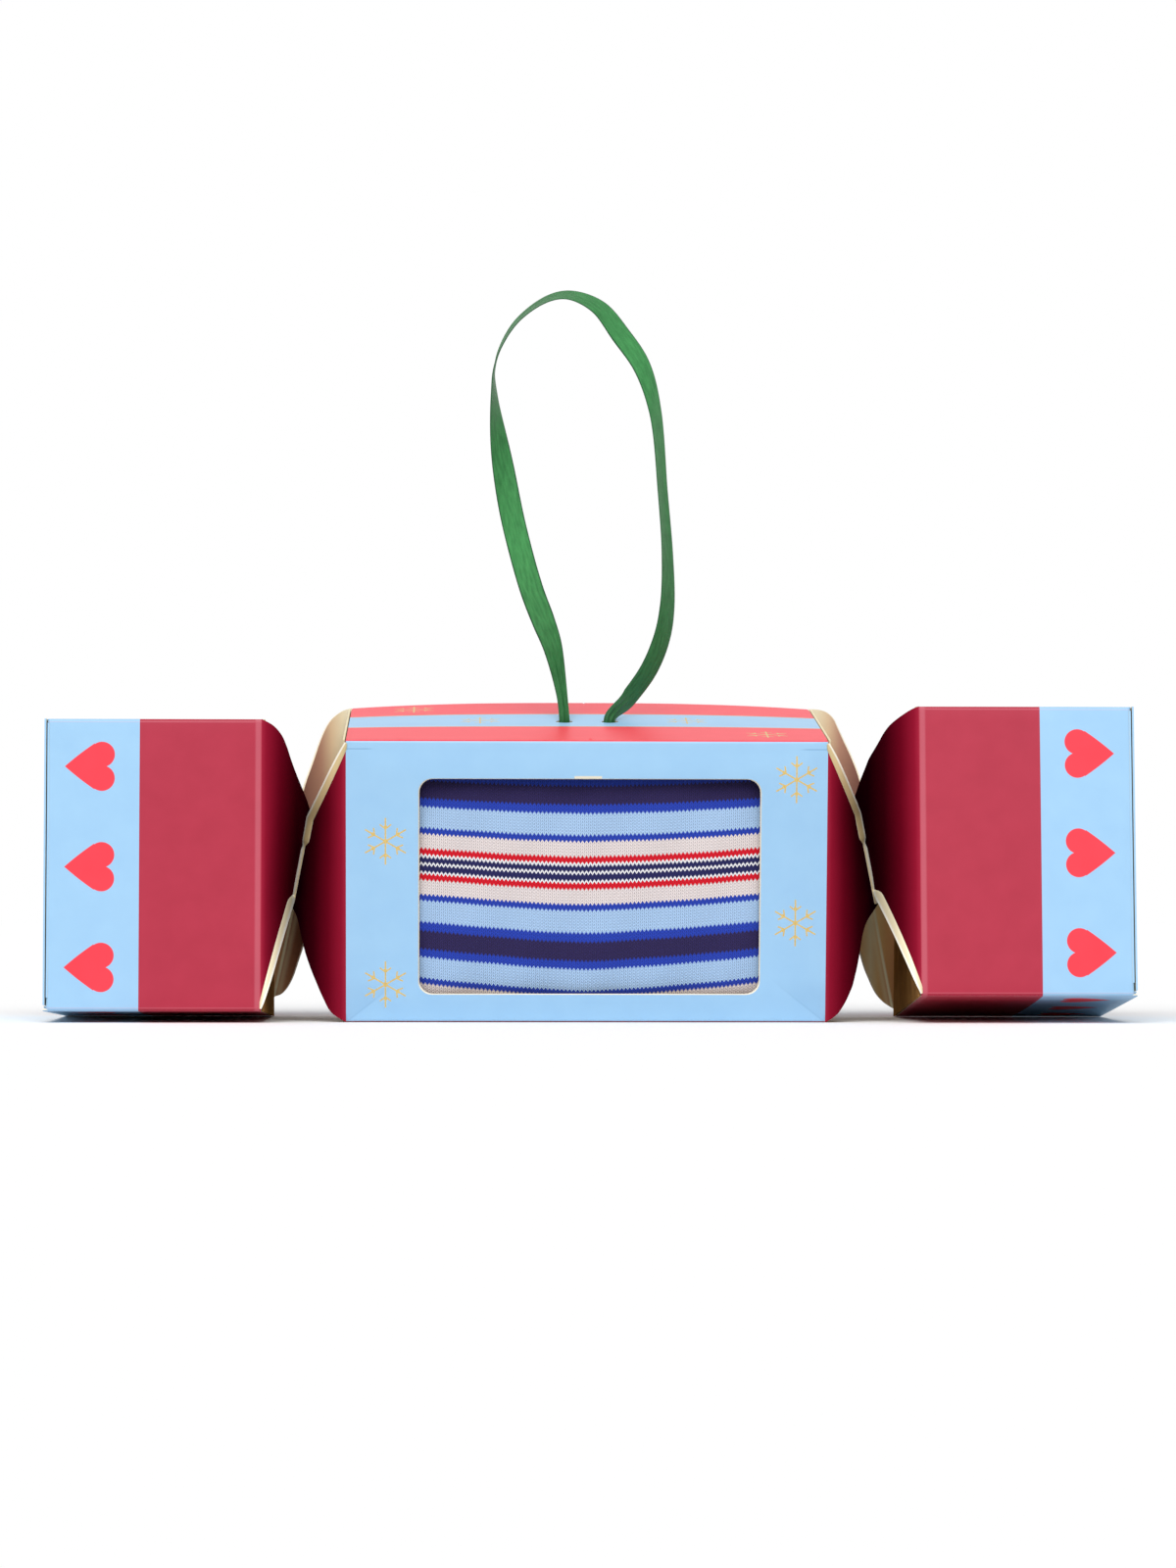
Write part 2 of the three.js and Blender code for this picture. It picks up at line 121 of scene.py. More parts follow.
# Points on the middle line in millimetres, and how far the band is turned there, in degrees
ribbon_route = np.array([
    (-7.4, 0.2, 90.5, 12),
    (-9.6, -0.4, 101.1, 8),
    (-12.1, -0.8, 108, 4),
    (-15.4, -1.2, 116.8, 0),
    (-20.2, -1.8, 134.5, 0),
    (-22.9, -2.2, 148.8, 18),
    (-24.7, -2.4, 161, 54),
    (-25.5, -2.5, 169.3, 74),
    (-25.6, -2.5, 175.6, 90),
    (-24.1, -2.3, 181.5, 98),
    (-19.2, -2, 189.4, 104),
    (-11, -1.6, 195.3, 110),
    (-5, -1.4, 196.3, 118),
    (2.7, -1.2, 193.1, 138),
    (8.9, -1, 185.5, 158),
    (14.5, -0.8, 177.2, 146),
    (18.2, -0.6, 165, 122),
    (20.3, -0.3, 143.3, 117),
    (21.6, 0, 125.8, 121),
    (21.6, 0.1, 112.5, 130),
    (20.2, 0.2, 103.8, 139),
    (16.7, 0.3, 95, 142),
    (11.2, 0.2, 87.2, 134),
])


def in_tilted_box(points, tilt, place):
    """Points of a box's own frame, turned about X by its tilt and moved to its axis."""
    points = np.asarray(points, float)
    y = points[..., 1] * math.cos(tilt) - points[..., 2] * math.sin(tilt)
    z = points[..., 1] * math.sin(tilt) + points[..., 2] * math.cos(tilt)
    return np.stack([points[..., 0], y, z], -1) + place


def smooth_line(points, steps):
    """A centripetal Catmull-Rom curve: each span is a cubic through its two points, whose end
    slopes come from the neighbouring points, with each span's time the root of its length."""
    points = np.asarray(points, float)
    padded = np.vstack([2 * points[0] - points[1], points, 2 * points[-1] - points[-2]])
    time = np.sqrt(np.linalg.norm(np.diff(padded, axis=0), axis=1))[:, None]
    before, here, after = time[:-2], time[1:-1], time[2:]
    p0, p1, p2, p3 = padded[:-3], padded[1:-2], padded[2:-1], padded[3:]
    slope1 = ((p1 - p0) / before - (p2 - p0) / (before + here) + (p2 - p1) / here) * here
    slope2 = ((p2 - p1) / here - (p3 - p1) / (here + after) + (p3 - p2) / after) * here
    t = np.linspace(0, len(points) - 1, steps)
    span = np.minimum(t.astype(int), len(points) - 2)
    t = (t - span)[:, None]
    p1, p2, slope1, slope2 = p1[span], p2[span], slope1[span], slope2[span]
    return (
        p1 * (2 * t**3 - 3 * t**2 + 1)
        + slope1 * (t**3 - 2 * t**2 + t)
        + p2 * (3 * t**2 - 2 * t**3)
        + slope2 * (t**3 - t**2)
    )


def lengths_along(points):
    """The distance of each point from the first, along the straight stretches between them."""
    return np.concatenate([[0], np.cumsum(np.linalg.norm(np.diff(points, axis=0), axis=1))])


def even_line(points, steps):
    """The same line with points at equal distances along it."""
    along = lengths_along(points[:, :3])
    wanted = np.linspace(0, along[-1], steps)
    return np.stack([np.interp(wanted, along, column) for column in points.T], 1), wanted


def outward_volume(corners, centre):
    """Six times the volume under faces of four corners, which is positive where they face out:
    the sum of the triple products of their two triangles."""
    a, b, c, d = (corners[:, n] - centre for n in range(4))
    return np.einsum("ij,ij->i", a, np.cross(b, c) + np.cross(c, d)).sum()


def mapped_mesh(name, points, faces, map_name, corner_uv):
    """A mesh of points and faces, with a UV map that gives each corner of each face its place."""
    mesh = bpy.data.meshes.new(name)
    mesh.from_pydata(points.tolist(), [], faces)
    mesh.uv_layers.new(name=map_name).data.foreach_set("uv", corner_uv.astype(np.float32).ravel())
    return mesh


def closed_skin(name, rings, uv):
    """A closed skin over rings of points, with a fan of triangles in the first ring and the last,
    all faces outwards, and a UV map called cloth that holds the given distances."""
    rows, columns = rings.shape[:2]
    i, j = np.meshgrid(np.arange(rows - 1), np.arange(columns), indexing="ij")
    i, j = i.ravel(), j.ravel()
    k = (j + 1) % columns
    skin = np.stack([i * columns + j, i * columns + k, (i + 1) * columns + k, (i + 1) * columns + j], 1)
    skin_uv = np.stack([uv[i, j], uv[i, j + 1], uv[i + 1, j + 1], uv[i + 1, j]], 1)
    here = np.arange(columns)
    beside = (here + 1) % columns
    last = (rows - 1) * columns
    hub = np.full(columns, rows * columns)
    first_fan = np.stack([beside, here, hub], 1)
    last_fan = np.stack([last + here, last + beside, hub + 1], 1)
    fans = np.vstack([first_fan, last_fan])
    points = np.vstack([rings.reshape(-1, 3), rings[0].mean(0), rings[-1].mean(0)])
    hub_uv = [np.broadcast_to(uv[row].mean(0), (columns, 2)) for row in (0, -1)]
    first_uv = np.stack([uv[0, 1:], uv[0, :-1], hub_uv[0]], 1)
    last_uv = np.stack([uv[-1, :-1], uv[-1, 1:], hub_uv[1]], 1)
    fan_uv = np.vstack([first_uv, last_uv])
    if outward_volume(points[skin], points[-1]) < 0:
        skin, skin_uv = skin[:, ::-1], skin_uv[:, ::-1]
        fans, fan_uv = fans[:, ::-1], fan_uv[:, ::-1]
    corner_uv = np.concatenate([skin_uv.reshape(-1, 2), fan_uv.reshape(-1, 2)])
    mesh = mapped_mesh(name, points, skin.tolist() + fans.tolist(), "cloth", corner_uv)
    mesh.polygons.foreach_set("use_smooth", np.arange(len(mesh.polygons)) < len(skin))
    return mesh


def new_piece(name, mesh, body):
    """An object at the origin that moves with one CAD body."""
    piece = bpy.data.objects.new(name, mesh)
    bpy.context.collection.objects.link(piece)
    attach(piece, body)
    return piece


hole_points = [
    in_tilted_box([x, 0, BODY_HALF + rise], *BODY_BOX)
    for x in HOLES
    for rise in (-HOLE_LEAD, HOLE_LEAD)
]
first_turn, last_turn = ribbon_route[[0, -1], 3]
line = np.vstack([
    np.append(hole_points[0], first_turn),
    np.append(hole_points[1], first_turn),
    ribbon_route * [0.001, 0.001, 0.001, 1],
    np.append(hole_points[3], last_turn),
    np.append(hole_points[2], last_turn),
])
curve = smooth_line(line[:, :3], CURVE_POINTS)
turn = np.interp(np.linspace(0, len(line) - 1, CURVE_POINTS), np.arange(len(line)), line[:, 3])
curve, along = even_line(np.column_stack([curve, turn]), RIBBON_POINTS)
middle, turn = curve[:, :3], np.radians(curve[:, 3])
# the turning is eased so that the satin twists evenly
easing = np.hanning(43)[1:-1] / np.hanning(43).sum()
turn = np.convolve(np.pad(turn, len(easing) // 2, mode="edge"), easing, "valid")
forward = np.gradient(middle, axis=0)
forward /= np.linalg.norm(forward, axis=1)[:, None]
flat = np.stack([forward[:, 2], np.zeros(len(middle)), -forward[:, 0]], 1)
flat /= np.linalg.norm(flat, axis=1)[:, None]
across = flat * np.cos(turn)[:, None] + np.cross(forward, flat) * np.sin(turn)[:, None]
through = np.cross(forward, across)
# the left leg stays gathered for longer than the right one
past_left = (along - LEFT_TIED) / LEFT_OPENS
past_right = (along[-1] - along - RIGHT_TIED) / RIGHT_OPENS
opened = np.clip(np.minimum(past_left, past_right), 0, 1)
opened = (opened**2 * (3 - 2 * opened))[:, None]
# Round the band: out along one face and back along the other, with a firm rolled edge and, where
# it is bunched in a hole, three lengthwise pleats
there, back = np.linspace(-1, 1, FACE_POINTS), np.linspace(1, -1, FACE_POINTS)[1:-1]
place = np.concatenate([there, back])
face = np.concatenate([np.ones(len(there)), -np.ones(len(back))])
face[[0, FACE_POINTS - 1]] = 0
gathered = np.interp(along, [0, along[-1]], BUNCHED_WIDTHS)[:, None]
half_width = (gathered + (RIBBON_WIDTH - gathered) * opened) / 2
half_thick = BUNCHED_HALF_THICK * (1 - opened) + FLAT_HALF_THICK * opened
edge_roll = 1 + 0.55 * np.exp(-(((np.abs(place) - 0.93) / 0.05) ** 2))
pleats = 0.0005 * (1 - opened) * np.cos(place * PLEATS * np.pi) * (1 - np.abs(place))
cupped = -0.00032 * opened * (1 - place**2) * np.sin(along * 2 * np.pi / 0.09)[:, None]
offset = half_thick * face * edge_roll + pleats + cupped
aside = across[:, None] * (half_width * place)[..., None]
band = middle[:, None] + aside + through[:, None] * offset[..., None]
around_uv = np.append(place, place[0])
band_uv = np.stack(np.broadcast_arrays(along[:, None], around_uv * RIBBON_WIDTH / 2), -1)
ribbon_mesh = closed_skin("ribbon", band, band_uv)
ribbon = new_piece("ribbon", ribbon_mesh, "root")
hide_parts("ribbon_loop")


def arithmetic(operation):
    """What an arithmetic sign does with amounts: it adds the node for one operation."""
    return lambda *values: calc(operation, *values)


class Amount:
    """A number or colour that a material works out at each point. A pattern is written as a
    formula of amounts, in which > and < give 1 or 0, and % a remainder that is never negative."""

    def __init__(self, tree, socket):
        self.tree = tree
        self.socket = socket

    def __rsub__(self, other):
        """An amount taken from a plain number."""
        return calc("SUBTRACT", other, self)

    __add__ = arithmetic("ADD")
    __sub__ = arithmetic("SUBTRACT")
    __mul__ = arithmetic("MULTIPLY")
    __truediv__ = arithmetic("DIVIDE")
    __pow__ = arithmetic("POWER")
    __mod__ = arithmetic("FLOORED_MODULO")
    __gt__ = arithmetic("GREATER_THAN")
    __lt__ = arithmetic("LESS_THAN")
    __abs__ = arithmetic("ABSOLUTE")


def add_node(tree, kind, inputs=(), **settings):
    """A shader node with the given settings, and numbers or amounts for its inputs."""
    node = tree.nodes.new("ShaderNode" + kind)
    for key, value in settings.items():
        setattr(node, key, value)
    for key, value in dict(inputs).items():
        feed(node.inputs[key], value)
    return node


def feed(socket, value):
    """Links an amount to an input, or sets the input to a plain number or colour."""
    if isinstance(value, Amount):
        value.tree.links.new(value.socket, socket)
    else:
        socket.default_value = value


def tree_of(values):
    """The node tree that the amounts among some values belong to."""
    return next(value.tree for value in values if isinstance(value, Amount))


def calc(operation, *values):
    """One step of arithmetic on amounts and plain numbers."""
    tree = tree_of(values)
    return Amount(tree, add_node(tree, "Math", enumerate(values), operation=operation).outputs[0])


def highest(first, *others):
    """The greatest of several amounts."""
    for other in others:
        first = calc("MAXIMUM", first, other)
    return first


def step(value, start, end, first=0.0, last=1.0, form="SMOOTHSTEP"):
    """An amount that is first up to the start, last from the end on, and runs between them."""
    inputs = {"Value": value, "From Min": start, "From Max": end, "To Min": first, "To Max": last}
    return Amount(value.tree, add_node(value.tree, "MapRange", inputs, interpolation_type=form).outputs[0])


def blend_colours(amount, first, second, form="MIX"):
    """The first colour where amount is 0, and the second, or the form's mixture, where it is 1."""
    tree = tree_of((amount, first, second))
    inputs = {0: amount, 6: first, 7: second}
    return Amount(tree, add_node(tree, "Mix", inputs, data_type="RGBA", blend_type=form).outputs[2])


def colour_steps(amount, stops, form="LINEAR"):
    """The colour that a list of places, from 0 to 1, and colours gives to each amount."""
    node = add_node(amount.tree, "ValToRGB", {0: amount})
    ramp = node.color_ramp
    ramp.interpolation = form
    for _ in stops[2:]:
        ramp.elements.new(0.5)
    for element, (place, colour) in zip(ramp.elements, stops):
        element.position = place
        element.color = colour
    return Amount(amount.tree, node.outputs[0])


def noise(tree, vector, scale, detail=2.0):
    """Soft random variation between 0 and 1 over the places that a vector gives."""
    inputs = {"Vector": Amount(tree, vector), "Scale": scale, "Detail": detail}
    return Amount(tree, add_node(tree, "TexNoise", inputs).outputs[0])


def emboss(look, height, strength, distance):
    """Makes a material's surface look raised where the height is great."""
    bump = add_node(look.tree, "Bump", {"Strength": strength, "Distance": distance, "Height": height})
    look.tree.links.new(bump.outputs[0], look.shader.inputs["Normal"])


def set_shader(look, **constants):
    """Sets inputs of the shader, whose names are given with low lines in place of spaces."""
    for name, value in constants.items():
        feed(look.shader.inputs[name.replace("_", " ")], value)


def new_look(name):
    """A new material, with its tree and its shader."""
    material = bpy.data.materials.new(name)
    material.use_nodes = True
    tree = material.node_tree
    return SimpleNamespace(material=material, tree=tree, shader=tree.nodes["Principled BSDF"])


def map_distances(tree, name, unit=0.001):
    """The distances along and across that a UV map holds in metres, in the given unit."""
    split = add_node(tree, "SeparateXYZ")
    tree.links.new(add_node(tree, "UVMap", uv_map=name).outputs[0], split.inputs[0])
    return [Amount(tree, output) * (1 / unit) for output in split.outputs[:2]]


def as_seen(red, green, blue):
    """A colour read off a screen, 0 to 255, as the linear value that a shader takes."""
    value = np.array([red, green, blue]) / 255
    linear = np.where(value <= 0.04045, value / 12.92, ((value + 0.055) / 1.055) ** 2.4)
    return (*linear.tolist(), 1.0)


satin = new_look("green_satin")
run, side = map_distances(satin.tree, "cloth")
# weft ribs 0.28 mm apart, stepped a little along the warp as a satin's are
rib = calc("SINE", run * 22.4 + side * 9.0)
warp = calc("SINE", side * 31.0)
weave = (rib + warp * 0.6) * 0.5
stretched = add_node(satin.tree, "Mapping", {"Scale": (260, 1500, 1)})
satin.tree.links.new(add_node(satin.tree, "UVMap", uv_map="cloth").outputs[0], stretched.inputs[0])
streaks = noise(satin.tree, stretched.outputs[0], 1.0, 3.0)
lively = streaks * 0.75 + weave * 0.3
body_green = blend_colours(lively, as_seen(16, 94, 40), as_seen(92, 190, 108))
# painted sheen and shade: some lengths of the band are painted lighter, others darker
painted_light_tones = [(0, 0.4), (0.05, 0.5), (0.1, 0.75), (0.2, 1.15), (0.3, 0.7)]
painted_light_tones += [(0.46, 0.5), (0.58, 1.05), (0.75, 0.72), (0.93, 0.45)]
painted_sheen_along = colour_steps(run / 270.0, [(at, (tone, tone, tone, 1)) for at, tone in painted_light_tones])
green_with_painted_sheen = blend_colours(0.8, body_green, painted_sheen_along, "MULTIPLY")
selvedge = step(abs(side), 2.72, 3.05) * 0.75
set_shader(satin, Base_Color=blend_colours(selvedge, green_with_painted_sheen, as_seen(20, 78, 44)))
set_shader(satin, Roughness=0.42, Sheen_Weight=0.06, Sheen_Roughness=0.35, Specular_IOR_Level=0.25)
emboss(satin, weave, 0.6, 0.00006)
ribbon_mesh.materials.append(satin.material)


def knotted_roll(length, depth, height, centre):
    """A roll along X whose radius falls to nothing at both ends, with three turns of ribbon
    wound round it as a slanted swelling, flattened to its depth and height."""
    turns, points_round, tip = 3, 41, 0.05
    u = np.linspace(tip, np.pi - tip, 49)[:, None]
    v = np.linspace(0, 2 * np.pi, points_round)[None, :-1]
    wound = 0.13 * np.cos(2 * turns * u + v) + 0.04 * np.cos(6 * turns * u - 2 * v)
    radius = np.sin(u) ** 0.55 * (1 + wound * np.sin(u)) / 2.4
    x = -np.cos(u) / 2 + 0 * v
    points = np.stack([x * length, radius * np.cos(v) * depth, radius * np.sin(v) * height], -1)
    around = np.linspace(-1, 1, points_round)[None] * RIBBON_WIDTH / 2
    return points + centre, np.stack(np.broadcast_arrays(u / np.pi * length, around), -1)


# the knot of the two ends, a double overhand drawn tight under the top panel
KNOT_LENGTH, KNOT_DEPTH, KNOT_HEIGHT, KNOT_DROP = 0.015, 0.0065, 0.0044, 0.0041
knot_centre = [HOLE_MIDDLE, 0, BODY_HALF - KNOT_DROP]
knot_points, knot_uv = knotted_roll(KNOT_LENGTH, KNOT_DEPTH, KNOT_HEIGHT, knot_centre)
knot_mesh = closed_skin("ribbon_knot_turns", in_tilted_box(knot_points, *BODY_BOX), knot_uv)
knot_mesh.materials.append(satin.material)
knot = new_piece("ribbon_knot_turns", knot_mesh, "root")
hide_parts("ribbon_knot")


# The middle box is folded from one printed board with a gold film on its inside. Its front has
# the window, and the creases between the panels are rounded because the board is scored there.
CARD = 0.0005
BODY_LENGTH = 0.1266
CREASE = 0.0009
SWELL, FRONT_RIDGE, BACK_RIDGE = 0.0006, 0.009, 0.012
TOP_RISE, BACK_RISE_DOWN_TO = 0.0017, 0.03
WINDOW_WIDTH, WINDOW_HEIGHT, WINDOW_CORNER, CORNER_SHARE = 0.0902, 0.0575, 0.0036, 0.1875
WINDOW_PLACE = [0.0008, -0.00125]
HOLE_RADIUS = 0.0023
PANEL_TURN = {"front": 0.0, "top": -math.pi / 2, "back": -math.pi, "bottom": math.pi / 2}


def card_mesh(name, outside, inside, uv, ring=False):
    """A closed sheet of card between an outside grid and an inside grid of points. Where ring
    is true the first way round is closed. The material slots are print, gold film and cut edge."""
    rows, columns = outside.shape[:2]
    count = rows * columns
    last_row = rows if ring else rows - 1
    i, j = np.meshgrid(np.arange(last_row), np.arange(columns - 1), indexing="ij")
    i, j = i.ravel(), j.ravel()
    k = (i + 1) % rows
    skin = np.stack([i * columns + j, k * columns + j, k * columns + j + 1, i * columns + j + 1], 1)
    faces, kinds = [skin, skin[:, ::-1] + count], [np.zeros(len(skin), int), np.ones(len(skin), int)]

    def rim(indices):
        """Faces from the outside's edge points, in the order given, to the inside's."""
        a, b = indices[:-1], indices[1:]
        return np.stack([a, b, b + count, a + count], 1)

    first, last = np.arange(rows) * columns, np.arange(rows) * columns + columns - 1
    if ring:
        first, last = np.append(first, first[0]), np.append(last, last[0])
    edges = [rim(first[::-1]), rim(last)]
    if not ring:
        edges += [rim(np.arange(columns)), rim(((rows - 1) * columns + np.arange(columns))[::-1])]
    for edge_faces in edges:
        faces.append(edge_faces)
        kinds.append(np.full(len(edge_faces), 2))
    faces, kinds = np.vstack(faces), np.concatenate(kinds)
    points = np.vstack([outside.reshape(-1, 3), inside.reshape(-1, 3)])
    if outward_volume(points[faces], points.mean(0)) < 0:
        faces = faces[:, ::-1]
    mesh = mapped_mesh(name, points, faces.tolist(), "board", np.vstack([uv.reshape(-1, 2)] * 2)[faces])
    mesh.polygons.foreach_set("material_index", kinds.astype(np.int32))
    mesh.polygons.foreach_set("use_smooth", kinds < 2)
    # the edges where two kinds of face meet are sharp
    edge_of_corner = np.empty(len(mesh.loops), np.int32)
    mesh.loops.foreach_get("edge_index", edge_of_corner)
    kind_of_corner = np.repeat(kinds, 4)
    lowest, greatest = np.full(len(mesh.edges), 9), np.full(len(mesh.edges), -1)
    np.minimum.at(lowest, edge_of_corner, kind_of_corner)
    np.maximum.at(greatest, edge_of_corner, kind_of_corner)
    mesh.edges.foreach_set("use_edge_sharp", lowest != greatest)
    return mesh


def folded_panel(x, s, half, side, bulge=0.0, rounding=(0.0, 0.0)):
    """Points of a panel of a square tube, outside and inside. s is the distance round the board
    from the panel's middle: flat up to the crease, then half of a rounded corner."""
    flat_half = half - CREASE
    angle = np.clip((np.abs(s) - flat_half) / CREASE, 0, None)
    turned = PANEL_TURN[side]
    skins = []
    for radius, round_in in zip((CREASE, CREASE - CARD), rounding):
        w = np.sign(s) * (np.minimum(np.abs(s), flat_half) + radius * np.sin(angle))
        n = flat_half + radius * np.cos(angle) + bulge - round_in
        y = -n * math.cos(turned) - w * math.sin(turned)
        z = -n * math.sin(turned) + w * math.cos(turned)
        skins.append(np.stack([x, y, z], -1))
    return skins


def folded_board(name, skins, box, uv, ring=False):
    """A sheet of card between two skins that are given in their box's own frame."""
    outside, inside = (in_tilted_box(skin, *box) for skin in skins)
    return card_mesh(name, outside, inside, uv, ring)


def girth(half, flat_steps):
    """Distances across a panel: even over its flat, and close together round both creases."""
    flat_half = half - CREASE
    roll = CREASE * math.pi / 4 * np.linspace(0, 1, 6)
    across_flat = np.linspace(-flat_half, flat_half, flat_steps)[1:-1]
    return np.concatenate([-flat_half - roll[::-1], across_flat, flat_half + roll])


def square_loop(steps):
    """Points round the unit square, steps to a side, starting at a corner."""
    a = np.linspace(-1, 1, steps + 1)[:-1]
    one = np.ones(steps)
    sides = [(a, -one), (one, a), (-a, one), (-one, -a)]
    return np.concatenate([np.stack(side, 1) for side in sides])


def cut_opening(loop, width, height, radius, arc):
    """The unit square's points moved onto a rounded rectangle: the share arc of each half side
    next to a corner goes round that corner, and the rest along the straight part."""
    a, b = loop.T
    out = []
    for along_side, other, half_along, half_other in (
        (a, b, width / 2, height / 2),
        (b, a, height / 2, width / 2),
    ):
        near = np.clip((np.abs(along_side) - (1 - arc)) / arc, 0, 1) * math.pi / 4
        straight = np.clip(np.abs(along_side) / (1 - arc), 0, 1) * (half_along - radius)
        beside = np.sign(other) * (half_other - radius + radius * np.cos(near))
        out.append((np.sign(along_side) * (straight + radius * np.sin(near)), beside))
    on_flat_sides = np.abs(b) >= np.abs(a)
    x = np.where(on_flat_sides, out[0][0], out[1][1])
    z = np.where(on_flat_sides, out[0][1], out[1][0])
    return np.stack([x, z], 1)


def panel_with_opening(half, x0, x1, opening, loop, rows=9):
    """Distances x and s over a panel from the edge of an opening out to the crease, in rings: the
    first ones run from the opening to the flat's edge and the last ones round the creases."""
    flat_half, margin = half - CREASE, 0.0006
    centre = np.array([(x0 + x1) / 2, 0])
    flat_length = (x1 - x0) / 2 - margin
    flat_edge = centre + loop * [flat_length, flat_half]
    share = (np.linspace(0, 1, rows) ** 1.2)[None, :, None]
    inner_rings = opening[:, None] * (1 - share) + flat_edge[:, None] * share
    outer = [
        centre + loop * [flat_length + margin * roll, flat_half + CREASE * math.pi / 4 * roll]
        for roll in np.linspace(0, 1, 6)[1:]
    ]
    rings = np.concatenate([inner_rings, np.stack(outer, 1)], 1)
    return rings[..., 0], rings[..., 1]


def pulled_corners(x, s, length, half, swell, reach):
    """How far a filled box's panel stands out: nothing at its edges and swell in its middle, with
    the nearer edge deciding, which leaves a faint ridge on each corner's diagonal."""
    near = np.minimum(length / 2 - np.abs(x), half - np.abs(s)) / reach
    near = np.clip(near, 0, 1)
    return swell * near * near * (3 - 2 * near)


loop = square_loop(32)
window = cut_opening(loop, WINDOW_WIDTH, WINDOW_HEIGHT, WINDOW_CORNER, CORNER_SHARE)
x, s = panel_with_opening(BODY_HALF, -BODY_LENGTH / 2, BODY_LENGTH / 2, window + WINDOW_PLACE, loop)
bulge = pulled_corners(x, s, BODY_LENGTH, BODY_HALF, SWELL, FRONT_RIDGE)
outside, inside = folded_panel(x, s, BODY_HALF, "front", bulge)
# the knife leaves the window's edge sloping, so its pale core shows from the front
inside[:, 0, [0, 2]] -= window * 0.007
front_mesh = folded_board("front_board", (outside, inside), BODY_BOX, np.stack([x, s], -1), ring=True)
front_board = new_piece("front_board", front_mesh, "root")
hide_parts("front_panel")


def risen_back(x, share):
    """The top swells upwards from front to back, most in the middle of the length."""
    return TOP_RISE * (1 - np.abs(x / (BODY_LENGTH / 2)) ** 2.6) * np.clip(share, 0, 1) ** 1.3


loop = square_loop(16)
ring_round_hole = loop / np.linalg.norm(loop, axis=1)[:, None] * HOLE_RADIUS
top_boards = []
for name, x0, x1, hole in (
    ("top_board", -BODY_LENGTH / 2, HOLE_MIDDLE, HOLES[0]),
    ("top_board_right", HOLE_MIDDLE, BODY_LENGTH / 2, HOLES[1]),
):
    x, s = panel_with_opening(BODY_HALF, x0, x1, ring_round_hole + [hole, 0], loop, rows=16)
    bulge = risen_back(x, (s + BODY_HALF) / (2 * BODY_HALF))
    skins = folded_panel(x, s, BODY_HALF, "top", bulge)
    mesh = folded_board(name, skins, BODY_BOX, np.stack([x, s], -1), ring=True)
    top_boards.append(new_piece(name, mesh, "root"))
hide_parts("top_panel")

lengthwise = np.linspace(-BODY_LENGTH / 2, BODY_LENGTH / 2, 41)
x, s = np.meshgrid(lengthwise, girth(BODY_HALF, 25), indexing="ij")
plain_boards = {}
for side, slot, swell in (("back", "light_blue_card", SWELL), ("bottom", "burgundy_card", 0.0)):
    bulge = pulled_corners(x, s, BODY_LENGTH, BODY_HALF, swell, BACK_RIDGE)
    outside, inside = folded_panel(x, s, BODY_HALF, side, bulge)
    if side == "back":
        # the back's upper edge rises with the top's, and the rise fades out further down
        lift = risen_back(x, 1 - (s + BODY_HALF) / BACK_RISE_DOWN_TO)
        outside[..., 2] += lift
        inside[..., 2] += lift
    mesh = folded_board(side + "_board", (outside, inside), BODY_BOX, np.stack([x, s], -1))
    plain_boards[side] = new_piece(side + "_board", mesh, "root")
    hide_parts(side + "_panel")


def card_look(name, coat_roughness):
    """The look of coated board, with fine grain and slow waves to vary its colour by."""
    look = new_look(name)
    set_shader(look, Roughness=coat_roughness, Specular_IOR_Level=0.35)
    place = add_node(look.tree, "TexCoord").outputs["Object"]
    look.grain = noise(look.tree, place, 2600.0, 4.0)
    look.waves = noise(look.tree, place, 130.0)
    emboss(look, look.grain * 0.25 + look.waves * 2.0, 0.25, 0.00008)
    return look


def below(value, limit, soft=0.05):
    """1 where value is under the limit and 0 over it, with a soft step of that width."""
    return step(value, limit - soft, limit + soft, 1.0, 0.0)


def within(value, middle, reach, soft=0.05):
    """1 where value is within reach of the middle, and 0 elsewhere."""
    return below(abs(value - middle), reach, soft)


def snowflake_shape(x, z):
    """Six arms, found by folding the angle round the middle into one twelfth: a bar along the
    arm, a short branch on each side of it, a bead past where they part, and one in the middle."""
    arm_length, arm_half, hub = 6.2, 0.2, 0.62
    branch_from, branch_middle, branch_half, lean = 3.3, 0.9, 0.19, math.radians(52)
    bead_at, bead = 3.9, 0.42
    radius = calc("SQRT", x * x + z * z)
    sixth = math.pi / 3
    folded = abs((calc("ARCTAN2", x, z) + sixth / 2) % sixth - sixth / 2)
    away = radius * calc("SINE", folded)
    out = radius * calc("COSINE", folded)
    arm = below(away, arm_half) * below(out, arm_length)
    past = out - branch_from
    along = away * math.sin(lean) + past * math.cos(lean)
    beside = away * math.cos(lean) - past * math.sin(lean)
    branch = within(beside, 0.0, branch_half) * within(along, branch_middle, 1.0)
    from_bead = calc("SQRT", away * away + (out - bead_at) ** 2.0)
    return highest(arm, branch, below(from_bead, bead), below(radius, hub))


def print_foil(look, shape, ground):
    """Gold foil pressed on the print where shape is 1."""
    foil = blend_colours(look.grain, as_seen(196, 160, 84), as_seen(240, 214, 140))
    set_shader(look, Base_Color=blend_colours(shape, ground, foil), Metallic=shape * 0.7)


LIGHT_BLUES = (as_seen(155, 200, 237), as_seen(165, 209, 242))
BURGUNDIES = (as_seen(171, 34, 60), as_seen(184, 44, 70))
CORALS = (as_seen(242, 54, 70), as_seen(250, 64, 80))
FILM_GOLDS = (as_seen(214, 188, 130), as_seen(238, 218, 168))
FILM_METAL = 0.45
